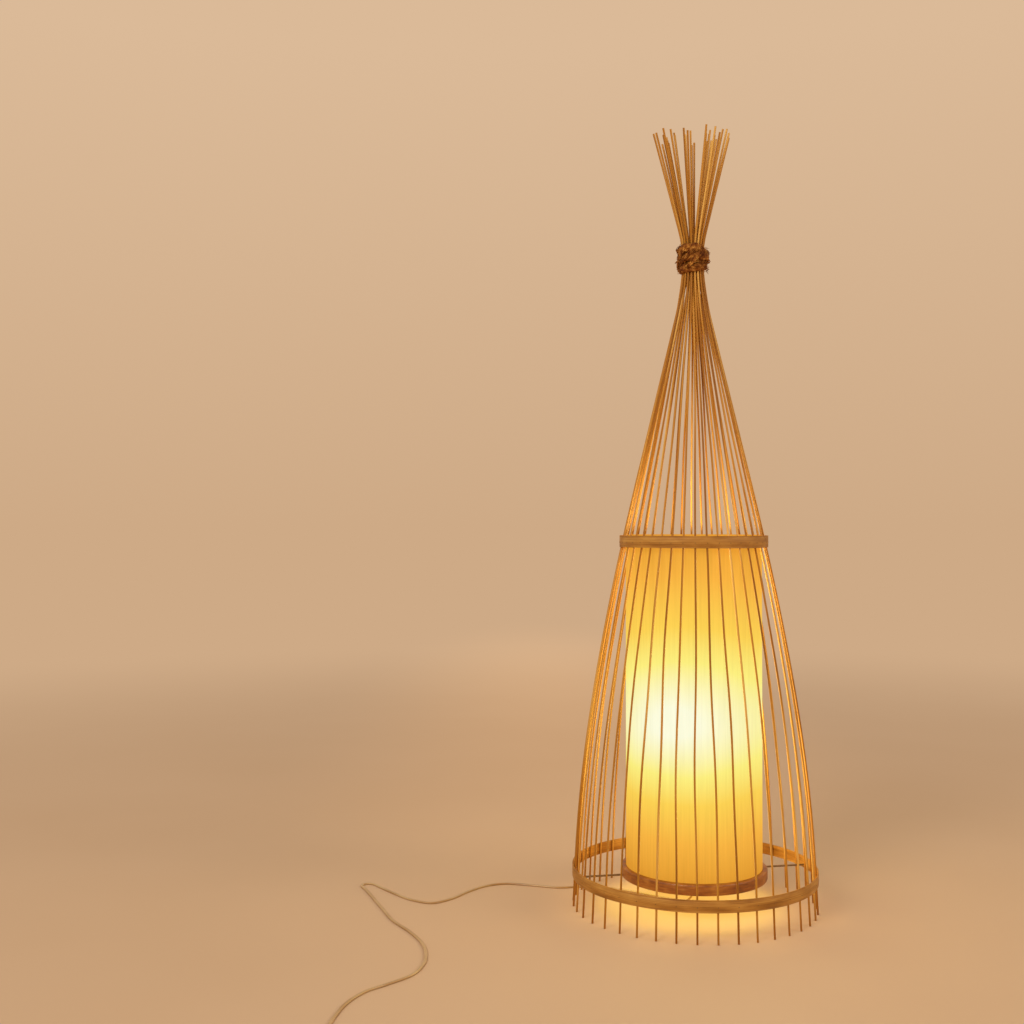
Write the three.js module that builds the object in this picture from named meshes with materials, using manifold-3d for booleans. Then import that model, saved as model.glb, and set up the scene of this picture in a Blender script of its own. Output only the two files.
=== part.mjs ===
// Rattan floor lamp: forty round sticks, tied at the neck, make a tall cage round a lit paper cylinder.
// Millimetres, +Z up. The origin is on the floor, under the middle of the cage, and the front faces -Y.

import * as THREE from 'three';
import { mergeVertices } from 'three/addons/utils/BufferGeometryUtils.js';
import Module from 'manifold-3d';

const wasm = await Module();
wasm.setup();

// Fits
const fitGap = 0.3;
const cutOverrun = 5;
const floorLift = 0.05;

// Sticks of the cage
const stickCount = 40;
const stickRadius = 1.5;
const stickSides = 6;
const firstStickTurn = THREE.MathUtils.degToRad(2.2);
const footRadius = 184.9;
const footReach = 68;
const footLeanShare = 0.077;
const footTrim = 4;
const shoulderHeight = 640;
const shoulderRadius = 89;
const bellyReach = 400;
const bellySteps = 7;
const neckLength = 54;
const gatherRadius = 23;

// Tie round the neck
const tieBottom = 969;
const tieHeight = 44;
const tieTop = tieBottom + tieHeight;
const gatherHeight = tieBottom - neckLength;
const tieCordDiameter = 7.2;
const tieTurnGap = 0.5;
const tieSteps = 24;
const tieSides = 6;
const tieTailSteps = 2;

// Stick places in the neck's bundle and at the tips, by layer
const headLength = 177;
const tipSway = 3;
const tipDrop = 18;
const tipSlant = 6;
const outerLayer = { bundleRadius: 15.2, tipRadius: 59, shortBy: 3 };
const middleLayer = { bundleRadius: 10, tipRadius: 40, shortBy: 1 };
const innerLayer = { bundleRadius: 6, tipRadius: 20, shortBy: 0 };
const layerOrder = [outerLayer, middleLayer, outerLayer, innerLayer];
const tipSwayShares = [0.2, -0.8, 0.6, -0.3, 1, -0.6, 0.1, 0.8, -1];
const tipDropShares = [0, 0.25, 0.1, 0.45, 0.2, 1, 0.05];

// The tips stand in three clumps, which face a little to the left of the front. A row says where a clump
// starts and ends across the head, in shares of its radius: evenly spread, and then drawn together.
const clumpTurn = THREE.MathUtils.degToRad(8.3);
const clumpShares = [
  [-1.05, -0.3, -1.06, -0.46],
  [-0.3, 0.17, -0.28, 0.08],
  [0.17, 1.05, 0.33, 0.98],
];

// Hoops outside the sticks
const hoopThickness = 1.5;
const hoopHeight = 18;
const lowerHoopBottom = 44;
const upperHoopBottom = 548;
const hoopSegments = 60;

// Shade, level with the hoops
const ringHeight = 16;
const ringLift = 1;
const ringBottom = lowerHoopBottom + ringLift;
const ringTop = ringBottom + ringHeight;
const ringWidth = 11;
const ringLedge = 7.5;
const shadeRise = 19;
const shadeTop = upperHoopBottom + shadeRise;
const shadeThickness = 0.8;
const shadeSegments = 48;
const topWireRadius = 1.25;
const topWireDrop = 3;
const topWireSides = 6;

// Support rod and batten, which carry the shade and the lampholder
const supportRodRadius = 1.5;
const supportRodSides = 10;
const supportRodRise = 4;
const supportRodHeight = ringBottom + supportRodRise;
const supportHeading = THREE.MathUtils.degToRad(11);
const battenWidth = 24;
const battenThickness = 7;

// Stem with a collar, its nut and the cord grip
const stemRadius = 5;
const stemBoreRadius = 3.6;
const stemTail = 2;
const stemCollarRadius = 8;
const stemCollarHeight = 3;
const stemSides = 24;
const nutAcrossCorners = 16.2;
const nutHeight = 4;
const nutCorners = 6;
const gripFlangeRadius = 5.4;
const gripFlangeHeight = 2;
const gripTopRadius = 4.2;
const gripEndRadius = 3;
const gripLength = 12;
const gripPlugLength = 8;

// Lampholder
const holderLift = 106.2;
const holderHeight = 58;
const holderRadius = 19;
const holderWall = 1.8;
const holderNeckRadius = 9;
const holderNeckHeight = 8;
const holderShoulderRadius = 17;
const holderShoulderHeight = 14;
const holderSkirtHeight = 22;
const holderSeatHeight = 24;
const holderFloorHeight = 16;
const holderSides = 24;
const insertFloor = 5;
const insertTopDrop = 1;
const insertBoreRadius = 13.6;

// Bulb
const bulbCapRadius = 13.2;
const bulbCapHeight = 28;
const bulbContactRadius = 4.5;
const bulbContactHeight = 2;
const bulbCapTaperRadius = 10;
const bulbCapTaperHeight = 5;
const bulbCapShoulderHeight = 8;
const bulbNeckRadius = 12.9;
const bulbGlobeRadius = 30;
const bulbGlobeCentre = 50;
const bulbGlass = 1.2;
const bulbSides = 24;
const bulbArcSteps = 7;
const bulbNeckShares = [[0, 0], [0.04, 0.16], [0.16, 0.32], [0.4, 0.52], [0.66, 0.68]];
const bulbArcStart = THREE.MathUtils.degToRad(-32);

// Flat two-core cord
const flexWidth = 5;
const flexThickness = 2.6;
const leadSides = 8;
const leadSteps = 128;
const uprightShare = 0.05;

// Switch on the cord
const switchLength = 60;
const switchWidth = 25;
const switchHeight = 15;
const switchCorner = 7;
const switchCornerSteps = 4;
const switchX = -398;
const switchY = -550;
const switchCordHeight = 5;
const rockerLength = 20.8;
const rockerWidth = 11.2;
const rockerPivotHeight = 11.5;
const rockerRise = 4.2;
const rockerDip = 2.4;
const rockerUnder = 1.5;
const rockerKeel = 3;
const rockerUnderShare = 0.87;
const rockerTilt = THREE.MathUtils.degToRad(8);
const pocketEndGap = 0.9;
const pocketSideGap = 0.4;
const pocketDepth = 7;
const rockerPinRadius = 1.2;
const rockerPinOverhang = 2;
const rockerPinSides = 12;

// Put-away coil of the cord
const coilTurns = 6;
const coilSteps = 24;
const coilSides = 6;
const coilPitch = 5.8;
const coilLayerStep = 3.3;
const coilOuterRadius = 37.4;
const coilClimbTurns = 0.5;
const coilEntryRun = 42;
const coilExitRun = 42;
const coilRunSteps = 7;
const coilDescentShare = 0.6;

// Plug
const plugLength = 36;
const plugWidth = 27;
const plugThickness = 14;
const plugTailWidth = 9;
const plugNoseInset = 3;
const plugTailLength = 21;
const pinRadius = 2;
const pinLength = 19;
const pinRoot = 2;
const pinSpacing = 18.6;
const pinSides = 12;

// Cord route on the floor, chosen by hand: out of the grip, out between two sticks, and on to the switch
const leadRoute = [
  [0, 0, 29.9], [0, 0, 25.6], [-2.6, 2, 13.5], [-9.8, 7.7, 4.7], [-21, 16, 1.35], [-60, 46, 1.35],
  [-110, 77, 1.35], [-161.2, 90.5, 1.35], [-205, 86, 1.35], [-250, 99, 1.35], [-290, 107, 1.35],
  [-320, 95, 1.35], [-348, 64, 1.35], [-374, 25, 1.35], [-402, 4, 1.35], [-434, 20, 1.35],
  [-464, 53.5, 1.35], [-491, 89.2, 1.35], [-501.6, 103.3, 1.35], [-511, 107.4, 1.35],
  [-518.5, 103.6, 1.35], [-520.2, 94.5, 1.35], [-512, 75.5, 1.35], [-478, -16, 1.35],
  [-453, -82, 1.35], [-425, -131, 1.35], [-405, -176, 1.35],
  [-396, -218, 1.35], [-396, -262, 1.35], [-408, -302, 1.35], [-436, -334, 1.35], [-461, -359, 1.35],
  [-478, -392, 1.35], [-487, -430, 1.35], [-491, -470, 1.35], [-488, -508, 1.35], [-474, -536, 1.6],
  [-453, -548, 3.4], [-437, -550, 4.9], [-428.3, -550, 5],
];

// Colours and finishes
const finishes = {
  stick: { color: 0xb9813f, roughness: 0.55, metalness: 0 },
  strip: { color: 0xa8703a, roughness: 0.6, metalness: 0 },
  tie: { color: 0x7c4a1c, roughness: 0.9, metalness: 0 },
  paper: { color: 0xf2b84b, roughness: 0.8, metalness: 0 },
  ring: { color: 0x8f5526, roughness: 0.6, metalness: 0 },
  wire: { color: 0x4a3420, roughness: 0.5, metalness: 0.6 },
  batten: { color: 0xc09a63, roughness: 0.7, metalness: 0 },
  steel: { color: 0xb8b8b4, roughness: 0.35, metalness: 1 },
  holder: { color: 0xe8e3d6, roughness: 0.4, metalness: 0 },
  brass: { color: 0xc8a04a, roughness: 0.3, metalness: 1 },
  glass: { color: 0xfff2d0, roughness: 0.3, metalness: 0 },
  cord: { color: 0xa87c4a, roughness: 0.35, metalness: 0 },
  fitting: { color: 0xd9c7a2, roughness: 0.4, metalness: 0 },
};

const lamp = new THREE.Group();

function addPiece(name, geometry, finish) {
  const mesh = new THREE.Mesh(geometry, new THREE.MeshStandardMaterial(finishes[finish]));
  mesh.name = name;
  lamp.add(mesh);
  return mesh;
}

// A line through given places: a tube along it has one ring at each place.
class StationLine extends THREE.Curve {
  constructor(places) {
    super();
    this.places = places;
  }

  getPoint(t, target = new THREE.Vector3()) {
    const reach = t * (this.places.length - 1);
    const index = Math.min(Math.floor(reach), this.places.length - 2);
    return target.lerpVectors(this.places[index], this.places[index + 1], reach - index);
  }

  getTangent(t, target = new THREE.Vector3()) {
    const index = Math.round(t * (this.places.length - 1));
    const here = this.places[index];
    const before = this.places[Math.max(index - 1, 0)];
    const after = this.places[Math.min(index + 1, this.places.length - 1)];
    const arriving = here.clone().sub(before).normalize();
    const leaving = after.clone().sub(here).normalize();
    return target.copy(arriving).add(leaving).normalize();
  }

  getUtoTmapping(u) {
    return u;
  }
}

// The same for a flat section, whose wide way stays level.
class FlatLine extends StationLine {
  computeFrenetFrames(steps) {
    const tangents = [];
    const normals = [];
    const binormals = [];
    const start = this.places[0];
    const levelReach = (place) => Math.hypot(place.x - start.x, place.y - start.y);
    const firstLevel = this.places.find((place) => levelReach(place) > flexWidth);
    for (let step = 0; step <= steps; step += 1) {
      const tangent = this.getTangentAt(step / steps);
      const heading = new THREE.Vector3(tangent.x, tangent.y, 0);
      if (heading.length() < uprightShare) {
        heading.copy(firstLevel).sub(start).setZ(0);
      }
      heading.normalize();
      const side = new THREE.Vector3(-heading.y, heading.x, 0);
      tangents.push(tangent);
      normals.push(side);
      binormals.push(new THREE.Vector3().crossVectors(tangent, side));
    }
    return { tangents, normals, binormals };
  }
}

function ovalSection(width, thickness, sides) {
  const corners = [];
  for (let side = 0; side < sides; side += 1) {
    const angle = 2 * Math.PI * (side + 1 / 2) / sides;
    corners.push(new THREE.Vector2(width / 2 * Math.cos(angle), thickness / 2 * Math.sin(angle)));
  }
  return new THREE.Shape(corners);
}

function sweep(section, line) {
  const steps = line.places.length - 1;
  return new THREE.ExtrudeGeometry(section, { steps, bevelEnabled: false, extrudePath: line });
}

function lathe(profile, segments) {
  const points = profile.map(([radius, height]) => new THREE.Vector2(radius, height));
  return new THREE.LatheGeometry(points, segments).rotateX(Math.PI / 2);
}

function ringProfile(inner, outer, bottom, top) {
  return [[inner, bottom], [outer, bottom], [outer, top], [inner, top], [inner, bottom]];
}

function solidOf(geometry) {
  const bare = geometry.clone();
  bare.deleteAttribute('normal');
  bare.deleteAttribute('uv');
  const merged = mergeVertices(bare);
  return new wasm.Manifold(new wasm.Mesh({
    numProp: 3,
    vertProperties: new Float32Array(merged.attributes.position.array),
    triVerts: new Uint32Array(merged.index.array),
  }));
}

function geometryOf(solid) {
  const mesh = solid.getMesh();
  const geometry = new THREE.BufferGeometry();
  geometry.setAttribute('position', new THREE.BufferAttribute(new Float32Array(mesh.vertProperties), 3));
  geometry.setIndex(new THREE.BufferAttribute(new Uint32Array(mesh.triVerts), 1));
  geometry.computeVertexNormals();
  return geometry;
}

// The cage's line: straight from the neck to the shoulder, then a belly that ends nearly upright at the foot
const coneSlope = (shoulderRadius - gatherRadius) / (gatherHeight - shoulderHeight);
const belly = new THREE.CubicBezierCurve(
  new THREE.Vector2(shoulderRadius, shoulderHeight),
  new THREE.Vector2(shoulderRadius + bellyReach * coneSlope, shoulderHeight - bellyReach),
  new THREE.Vector2(footRadius - footReach * footLeanShare, footReach),
  new THREE.Vector2(footRadius, 0),
);

const cageLine = [new THREE.Vector2(gatherRadius, gatherHeight)];
for (let step = 0; step < bellySteps; step += 1) {
  cageLine.push(belly.getPoint(step / bellySteps));
}
cageLine.push(new THREE.Vector2(footRadius, footTrim));
cageLine.push(new THREE.Vector2(footRadius, 0));

// The middle of a stick at a height, and half a stick's breadth there, measured level
function cageAt(height) {
  const index = cageLine.findIndex((place) => place.y <= height);
  const above = cageLine[index - 1];
  const below = cageLine[index];
  const share = (above.y - height) / (above.y - below.y);
  const radius = THREE.MathUtils.lerp(above.x, below.x, share);
  const breadth = stickRadius * above.distanceTo(below) / (above.y - below.y);
  return { inner: radius - breadth, outer: radius + breadth };
}

function placeRound(radius, height, turn, sway = 0) {
  const out = new THREE.Vector3(Math.sin(turn), -Math.cos(turn), 0);
  const along = new THREE.Vector3(Math.cos(turn), Math.sin(turn), 0);
  return out.multiplyScalar(radius).addScaledVector(along, sway).setZ(height);
}

function drawIntoClump(tip) {
  const across = new THREE.Vector3(Math.cos(clumpTurn), -Math.sin(clumpTurn), 0);
  const share = tip.dot(across) / outerLayer.tipRadius;
  const [start, end, newStart, newEnd] = clumpShares.find((row) => share <= row[1]);
  const newShare = THREE.MathUtils.mapLinear(share, start, end, newStart, newEnd);
  return tip.addScaledVector(across, outerLayer.tipRadius * (newShare - share));
}

function addSticks() {
  const section = ovalSection(2 * stickRadius, 2 * stickRadius, stickSides);
  for (let index = 0; index < stickCount; index += 1) {
    const turn = firstStickTurn + 2 * Math.PI * index / stickCount;
    const layer = layerOrder[index % layerOrder.length];
    const sway = tipSway * tipSwayShares[index % tipSwayShares.length];
    const drop = tipDrop * tipDropShares[index % tipDropShares.length];
    const slant = tipSlant * Math.cos(turn) * layer.tipRadius / outerLayer.tipRadius;
    const tipHeight = tieTop + headLength - layer.shortBy - drop - slant;
    const places = [
      drawIntoClump(placeRound(layer.tipRadius, tipHeight, turn, sway)),
      placeRound(layer.bundleRadius, tieTop, turn),
      placeRound(layer.bundleRadius, tieBottom, turn),
      ...cageLine.map((place) => placeRound(place.x, place.y, turn)),
    ];
    const name = `stick_${String(index + 1).padStart(2, '0')}`;
    addPiece(name, sweep(section, new StationLine(places)), 'stick');
  }
}

// A hoop is an upright band that bears on the sticks at its lower edge, where they stand widest. Its corners
// stand out far enough for its flats to clear them.
function hoopGeometry(bottom) {
  const inner = (cageAt(bottom).outer + fitGap) / Math.cos(Math.PI / hoopSegments);
  return lathe(ringProfile(inner, inner + hoopThickness, bottom, bottom + hoopHeight), hoopSegments);
}

// The support rod lies beside the stem's nut, under the batten, and ends in the lower hoop.
const supportRodOffset = nutAcrossCorners / 2 + fitGap + supportRodRadius;
const supportTurn = new THREE.Matrix4().makeRotationZ(supportHeading);

function rodGeometry(radius, length) {
  return new THREE.CylinderGeometry(radius, radius, length, supportRodSides)
    .rotateZ(Math.PI / 2)
    .translate(0, supportRodOffset, supportRodHeight)
    .applyMatrix4(supportTurn);
}

const lowerHoopOuter = cageAt(lowerHoopBottom).outer + fitGap + hoopThickness;
const supportRodLength = 2 * (Math.sqrt(lowerHoopOuter ** 2 - supportRodOffset ** 2) - fitGap);

function addHoops() {
  const rodHole = solidOf(rodGeometry(supportRodRadius + fitGap, supportRodLength + 2 * cutOverrun));
  const lower = solidOf(hoopGeometry(lowerHoopBottom)).subtract(rodHole);
  addPiece('lower_hoop', geometryOf(lower), 'strip');
  addPiece('upper_hoop', hoopGeometry(upperHoopBottom), 'strip');
}

// Shade: its top edge just meets the sticks where they close in on it
const shadeRadius = cageAt(shadeTop).inner - fitGap;
const ringOuter = shadeRadius + ringLedge;
const ringInner = ringOuter - ringWidth;

function addShade() {
  const skinBottom = ringTop + fitGap;
  const skinInner = shadeRadius - shadeThickness;
  const skinProfile = ringProfile(skinInner, shadeRadius, skinBottom, shadeTop);
  addPiece('shade_skin', lathe(skinProfile, shadeSegments), 'paper');
  const wireRing = skinInner * Math.cos(Math.PI / shadeSegments) - fitGap - topWireRadius;
  const wire = new THREE.TorusGeometry(wireRing, topWireRadius, topWireSides, shadeSegments);
  addPiece('shade_top_wire', wire.translate(0, 0, shadeTop - topWireDrop), 'wire');
  const ring = solidOf(lathe(ringProfile(ringInner, ringOuter, ringBottom, ringTop), shadeSegments));
  const rodHole = solidOf(rodGeometry(supportRodRadius + fitGap, supportRodLength));
  addPiece('shade_base_ring', geometryOf(ring.subtract(rodHole)), 'ring');
}

// Least gap from a wound tube to itself, taken between places at least half a turn apart
function leastGap(places, turnSteps, width, thickness) {
  let least = Infinity;
  for (let one = 0; one < places.length; one += 1) {
    for (let other = one + turnSteps / 2; other < places.length; other += 1) {
      const aside = Math.hypot(places[one].x - places[other].x, places[one].y - places[other].y);
      const above = Math.abs(places[one].z - places[other].z);
      const share = Math.hypot(aside / width, above / thickness);
      least = Math.min(least, (share - 1) * Math.min(width, thickness));
    }
  }
  return least;
}

function report(name, gap) {
  console.log(`${name}: least gap to itself ${gap.toFixed(2)} mm`);
}

// Tie: one thick cord wound up the bundle, with a straight tail at each end
function addTie() {
  const radius = outerLayer.bundleRadius + stickRadius + fitGap + tieCordDiameter / 2;
  const pitch = tieCordDiameter + tieTurnGap;
  const turns = (tieTop - tieBottom - tieCordDiameter) / pitch;
  const steps = Math.round(turns * tieSteps);
  const bottom = tieBottom + tieCordDiameter / 2;
  const wound = [];
  for (let step = 0; step <= steps; step += 1) {
    const turn = step / tieSteps;
    wound.push(placeRound(radius, bottom + pitch * turn, 2 * Math.PI * turn));
  }
  const places = [...wound];
  const tailStep = tieCordDiameter / tieTailSteps;
  const startWay = wound[0].clone().sub(wound[1]).normalize();
  const endWay = wound[steps].clone().sub(wound[steps - 1]).normalize();
  for (let step = 1; step <= tieTailSteps; step += 1) {
    places.unshift(wound[0].clone().addScaledVector(startWay, step * tailStep));
    places.push(wound[steps].clone().addScaledVector(endWay, step * tailStep));
  }
  report('neck_tie', leastGap(places, tieSteps, tieCordDiameter, tieCordDiameter));
  const section = ovalSection(tieCordDiameter, tieCordDiameter, tieSides);
  addPiece('neck_tie', sweep(section, new StationLine(places)), 'tie');
}

// Batten across the ring, resting on the support rod, and the stem, whose collar and nut clamp it
const battenBottom = supportRodHeight + supportRodRadius + fitGap;
const battenTop = battenBottom + battenThickness;
const lowerNutTop = battenBottom - fitGap;
const stemBottom = lowerNutTop - nutHeight - stemTail;
const holderBottom = battenTop + holderLift;
const stemTop = holderBottom + holderShoulderHeight;

function addBatten() {
  const reach = (ringInner - fitGap) * Math.cos(Math.PI / shadeSegments);
  const half = Math.sqrt(reach ** 2 - (battenWidth / 2) ** 2);
  const outline = new THREE.Shape([
    new THREE.Vector2(-battenWidth / 2, -half),
    new THREE.Vector2(battenWidth / 2, -half),
    new THREE.Vector2(battenWidth / 2, half),
    new THREE.Vector2(-battenWidth / 2, half),
  ]);
  outline.holes.push(new THREE.Path().absarc(0, 0, stemRadius + fitGap, 0, 2 * Math.PI, true));
  const batten = new THREE.ExtrudeGeometry(outline, { depth: battenThickness, bevelEnabled: false });
  addPiece('holder_batten', batten.translate(0, 0, battenBottom).applyMatrix4(supportTurn), 'batten');
}

function nutGeometry(bottom) {
  const outline = new THREE.Shape();
  for (let corner = 0; corner < nutCorners; corner += 1) {
    const angle = 2 * Math.PI * corner / nutCorners;
    const x = nutAcrossCorners / 2 * Math.cos(angle);
    const y = nutAcrossCorners / 2 * Math.sin(angle);
    if (corner === 0) {
      outline.moveTo(x, y);
    } else {
      outline.lineTo(x, y);
    }
  }
  outline.closePath();
  outline.holes.push(new THREE.Path().absarc(0, 0, stemRadius + fitGap, 0, 2 * Math.PI, true));
  const nut = new THREE.ExtrudeGeometry(outline, { depth: nutHeight, bevelEnabled: false });
  return nut.translate(0, 0, bottom);
}

const gripTop = stemBottom - fitGap;
const gripEnd = gripTop - gripFlangeHeight - gripLength;

function addStem() {
  const collarBottom = battenTop + fitGap;
  addPiece('stem_tube', lathe([
    [stemBoreRadius, stemBottom],
    [stemRadius, stemBottom],
    [stemRadius, collarBottom],
    [stemCollarRadius, collarBottom],
    [stemCollarRadius, collarBottom + stemCollarHeight],
    [stemRadius, collarBottom + stemCollarHeight],
    [stemRadius, stemTop],
    [stemBoreRadius, stemTop],
    [stemBoreRadius, stemBottom],
  ], stemSides), 'steel');
  addPiece('stem_nut', nutGeometry(lowerNutTop - nutHeight), 'steel');
  addPiece('cord_grip', lathe([
    [0, gripEnd],
    [gripEndRadius, gripEnd],
    [gripTopRadius, gripTop - gripFlangeHeight],
    [gripFlangeRadius, gripTop - gripFlangeHeight],
    [gripFlangeRadius, gripTop],
    [stemBoreRadius - fitGap, gripTop],
    [stemBoreRadius - fitGap, gripTop + gripPlugLength],
    [0, gripTop + gripPlugLength],
  ], stemSides), 'holder');
}

// Lampholder: a cup that the stem screws into, with the insert that takes the bulb
const insertBottom = holderBottom + holderSeatHeight + fitGap;
const insertTop = holderBottom + holderHeight - insertTopDrop;
const holderBoreRadius = holderRadius - holderWall;

function addLampholder() {
  addPiece('lampholder_cup', lathe([
    [stemRadius + fitGap, holderBottom],
    [holderNeckRadius, holderBottom],
    [holderNeckRadius, holderBottom + holderNeckHeight],
    [holderShoulderRadius, holderBottom + holderShoulderHeight],
    [holderRadius, holderBottom + holderSkirtHeight],
    [holderRadius, holderBottom + holderHeight],
    [holderBoreRadius, holderBottom + holderHeight],
    [holderBoreRadius, holderBottom + holderSeatHeight],
    [stemRadius + fitGap, holderBottom + holderFloorHeight],
    [stemRadius + fitGap, holderBottom],
  ], holderSides), 'holder');
  addPiece('lampholder_insert', lathe([
    [0, insertBottom],
    [holderBoreRadius - fitGap, insertBottom],
    [holderBoreRadius - fitGap, insertTop],
    [insertBoreRadius, insertTop],
    [insertBoreRadius, insertBottom + insertFloor],
    [0, insertBottom + insertFloor],
  ], holderSides), 'brass');
}

// Bulb: a screw cap and a hollow glass globe, open at the neck
function addBulb() {
  const capBottom = insertBottom + insertFloor + fitGap;
  const capTop = capBottom + bulbCapHeight;
  addPiece('bulb_cap', lathe([
    [0, capBottom],
    [bulbContactRadius, capBottom],
    [bulbContactRadius, capBottom + bulbContactHeight],
    [bulbCapTaperRadius, capBottom + bulbCapTaperHeight],
    [bulbCapRadius, capBottom + bulbCapShoulderHeight],
    [bulbCapRadius, capTop],
    [0, capTop],
  ], bulbSides), 'steel');
  const glassBottom = capTop + fitGap;
  const outer = bulbWall(glassBottom, bulbNeckRadius, bulbGlobeRadius);
  const inner = bulbWall(glassBottom, bulbNeckRadius - bulbGlass, bulbGlobeRadius - bulbGlass).reverse();
  addPiece('bulb_globe', lathe([...inner, ...outer], bulbSides), 'glass');
}

function bulbWall(bottom, neckRadius, globeRadius) {
  const arcStartRadius = globeRadius * Math.cos(bulbArcStart);
  const arcStartHeight = bulbGlobeCentre + globeRadius * Math.sin(bulbArcStart);
  const wall = bulbNeckShares.map(([radiusShare, heightShare]) => [
    neckRadius + radiusShare * (arcStartRadius - neckRadius),
    bottom + heightShare * arcStartHeight,
  ]);
  for (let step = 0; step <= bulbArcSteps; step += 1) {
    const angle = bulbArcStart + (Math.PI / 2 - bulbArcStart) * step / bulbArcSteps;
    const radius = step === bulbArcSteps ? 0 : globeRadius * Math.cos(angle);
    wall.push([radius, bottom + bulbGlobeCentre + globeRadius * Math.sin(angle)]);
  }
  return wall;
}

// Free cord from the grip to the switch
function addLead() {
  const marks = leadRoute.map((place) => new THREE.Vector3(...place));
  const route = new THREE.CatmullRomCurve3(marks, false, 'centripetal');
  const rest = flexThickness / 2 + floorLift;
  const places = route.getSpacedPoints(leadSteps);
  for (const place of places) {
    place.z = Math.max(place.z, rest);
  }
  const section = ovalSection(flexWidth, flexThickness, leadSides);
  addPiece('cord_lead', sweep(section, new FlatLine(places)), 'cord');
  console.log(`cord_lead: ${route.getLength().toFixed(0)} mm long`);
}

// Switch: a rounded block with a pocket, and a rocker on a pin
function addSwitch() {
  const half = switchLength / 2 - switchCorner;
  const side = switchWidth / 2 - switchCorner;
  const outline = new THREE.Shape()
    .absarc(half, side, switchCorner, 0, Math.PI / 2, false)
    .absarc(-half, side, switchCorner, Math.PI / 2, Math.PI, false)
    .absarc(-half, -side, switchCorner, Math.PI, 3 * Math.PI / 2, false)
    .absarc(half, -side, switchCorner, 3 * Math.PI / 2, 2 * Math.PI, false);
  outline.closePath();
  const blockSettings = { depth: switchHeight, bevelEnabled: false, curveSegments: switchCornerSteps };
  const block = new THREE.ExtrudeGeometry(outline, blockSettings);
  const pocket = new THREE.BoxGeometry(
    rockerLength + 2 * pocketEndGap,
    rockerWidth + 2 * pocketSideGap,
    pocketDepth + cutOverrun,
  ).translate(0, 0, switchHeight - pocketDepth + (pocketDepth + cutOverrun) / 2);
  const pinLengthInBody = rockerWidth + 2 * rockerPinOverhang;
  const pinHole = pinGeometry(rockerPinRadius + fitGap, pinLengthInBody + 2 * fitGap);
  const body = solidOf(block)
    .subtract(solidOf(pocket))
    .subtract(solidOf(pinHole.translate(0, 0, rockerPivotHeight)));
  addPiece('switch_body', geometryOf(body).translate(switchX, switchY, 0), 'fitting');
  const rocker = addPiece('switch_rocker', rockerGeometry(pinLengthInBody), 'holder');
  rocker.position.set(switchX, switchY, rockerPivotHeight);
  rocker.rotation.y = rockerTilt;
}

function pinGeometry(radius, length) {
  return new THREE.CylinderGeometry(radius, radius, length, rockerPinSides);
}

function rockerGeometry(pinLengthInBody) {
  const end = rockerLength / 2;
  const under = end * rockerUnderShare;
  const outline = new THREE.Shape([
    new THREE.Vector2(-under, -rockerUnder),
    new THREE.Vector2(0, -rockerKeel),
    new THREE.Vector2(under, -rockerUnder),
    new THREE.Vector2(end, rockerRise),
    new THREE.Vector2(0, rockerDip),
    new THREE.Vector2(-end, rockerRise),
  ]);
  const wedge = new THREE.ExtrudeGeometry(outline, { depth: rockerWidth, bevelEnabled: false })
    .translate(0, 0, -rockerWidth / 2)
    .rotateX(Math.PI / 2);
  return geometryOf(solidOf(wedge).add(solidOf(pinGeometry(rockerPinRadius, pinLengthInBody))));
}

// Coil of put-away cord: it spirals in on the floor, climbs at the inside, and spirals out on top
function addCoil() {
  const rest = flexThickness / 2 + floorLift;
  const start = new THREE.Vector3(switchX + switchLength / 2 + fitGap, switchY, switchCordHeight);
  const entryX = start.x + coilEntryRun;
  const centreY = switchY - coilOuterRadius;
  const places = [start, start.clone().setX(start.x + flexWidth)];
  for (let step = 1; step < coilRunSteps; step += 1) {
    const share = step / coilRunSteps;
    const x = start.x + flexWidth + share * (coilEntryRun - flexWidth);
    const z = THREE.MathUtils.lerp(switchCordHeight, rest, easeShare(share / coilDescentShare));
    places.push(new THREE.Vector3(x, switchY, z));
  }
  for (let step = 0; step <= coilTurns * coilSteps; step += 1) {
    const turn = step / coilSteps;
    const radius = coilOuterRadius - coilPitch * Math.min(turn, coilTurns - turn);
    const climbed = easeShare((turn - coilTurns / 2) / coilClimbTurns + 1 / 2);
    const place = placeRound(radius, rest + coilLayerStep * climbed, Math.PI - 2 * Math.PI * turn);
    places.push(place.add(new THREE.Vector3(entryX, centreY, 0)));
  }
  const plugRest = plugThickness / 2;
  for (let step = 1; step <= coilRunSteps; step += 1) {
    const share = step / coilRunSteps;
    const x = entryX + share * (coilExitRun - flexWidth);
    const z = THREE.MathUtils.lerp(rest + coilLayerStep, plugRest, easeShare(share));
    places.push(new THREE.Vector3(x, switchY, z));
  }
  places.push(new THREE.Vector3(entryX + coilExitRun, switchY, plugRest));
  report('cord_coil', leastGap(places, coilSteps, flexWidth, flexThickness));
  const line = new FlatLine(places);
  console.log(`cord_coil: ${line.getLength().toFixed(0)} mm long`);
  addPiece('cord_coil', sweep(ovalSection(flexWidth, flexThickness, coilSides), line), 'cord');
  addPlug(entryX + coilExitRun + fitGap);
}

function easeShare(share) {
  return THREE.MathUtils.smoothstep(share, 0, 1);
}

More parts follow.
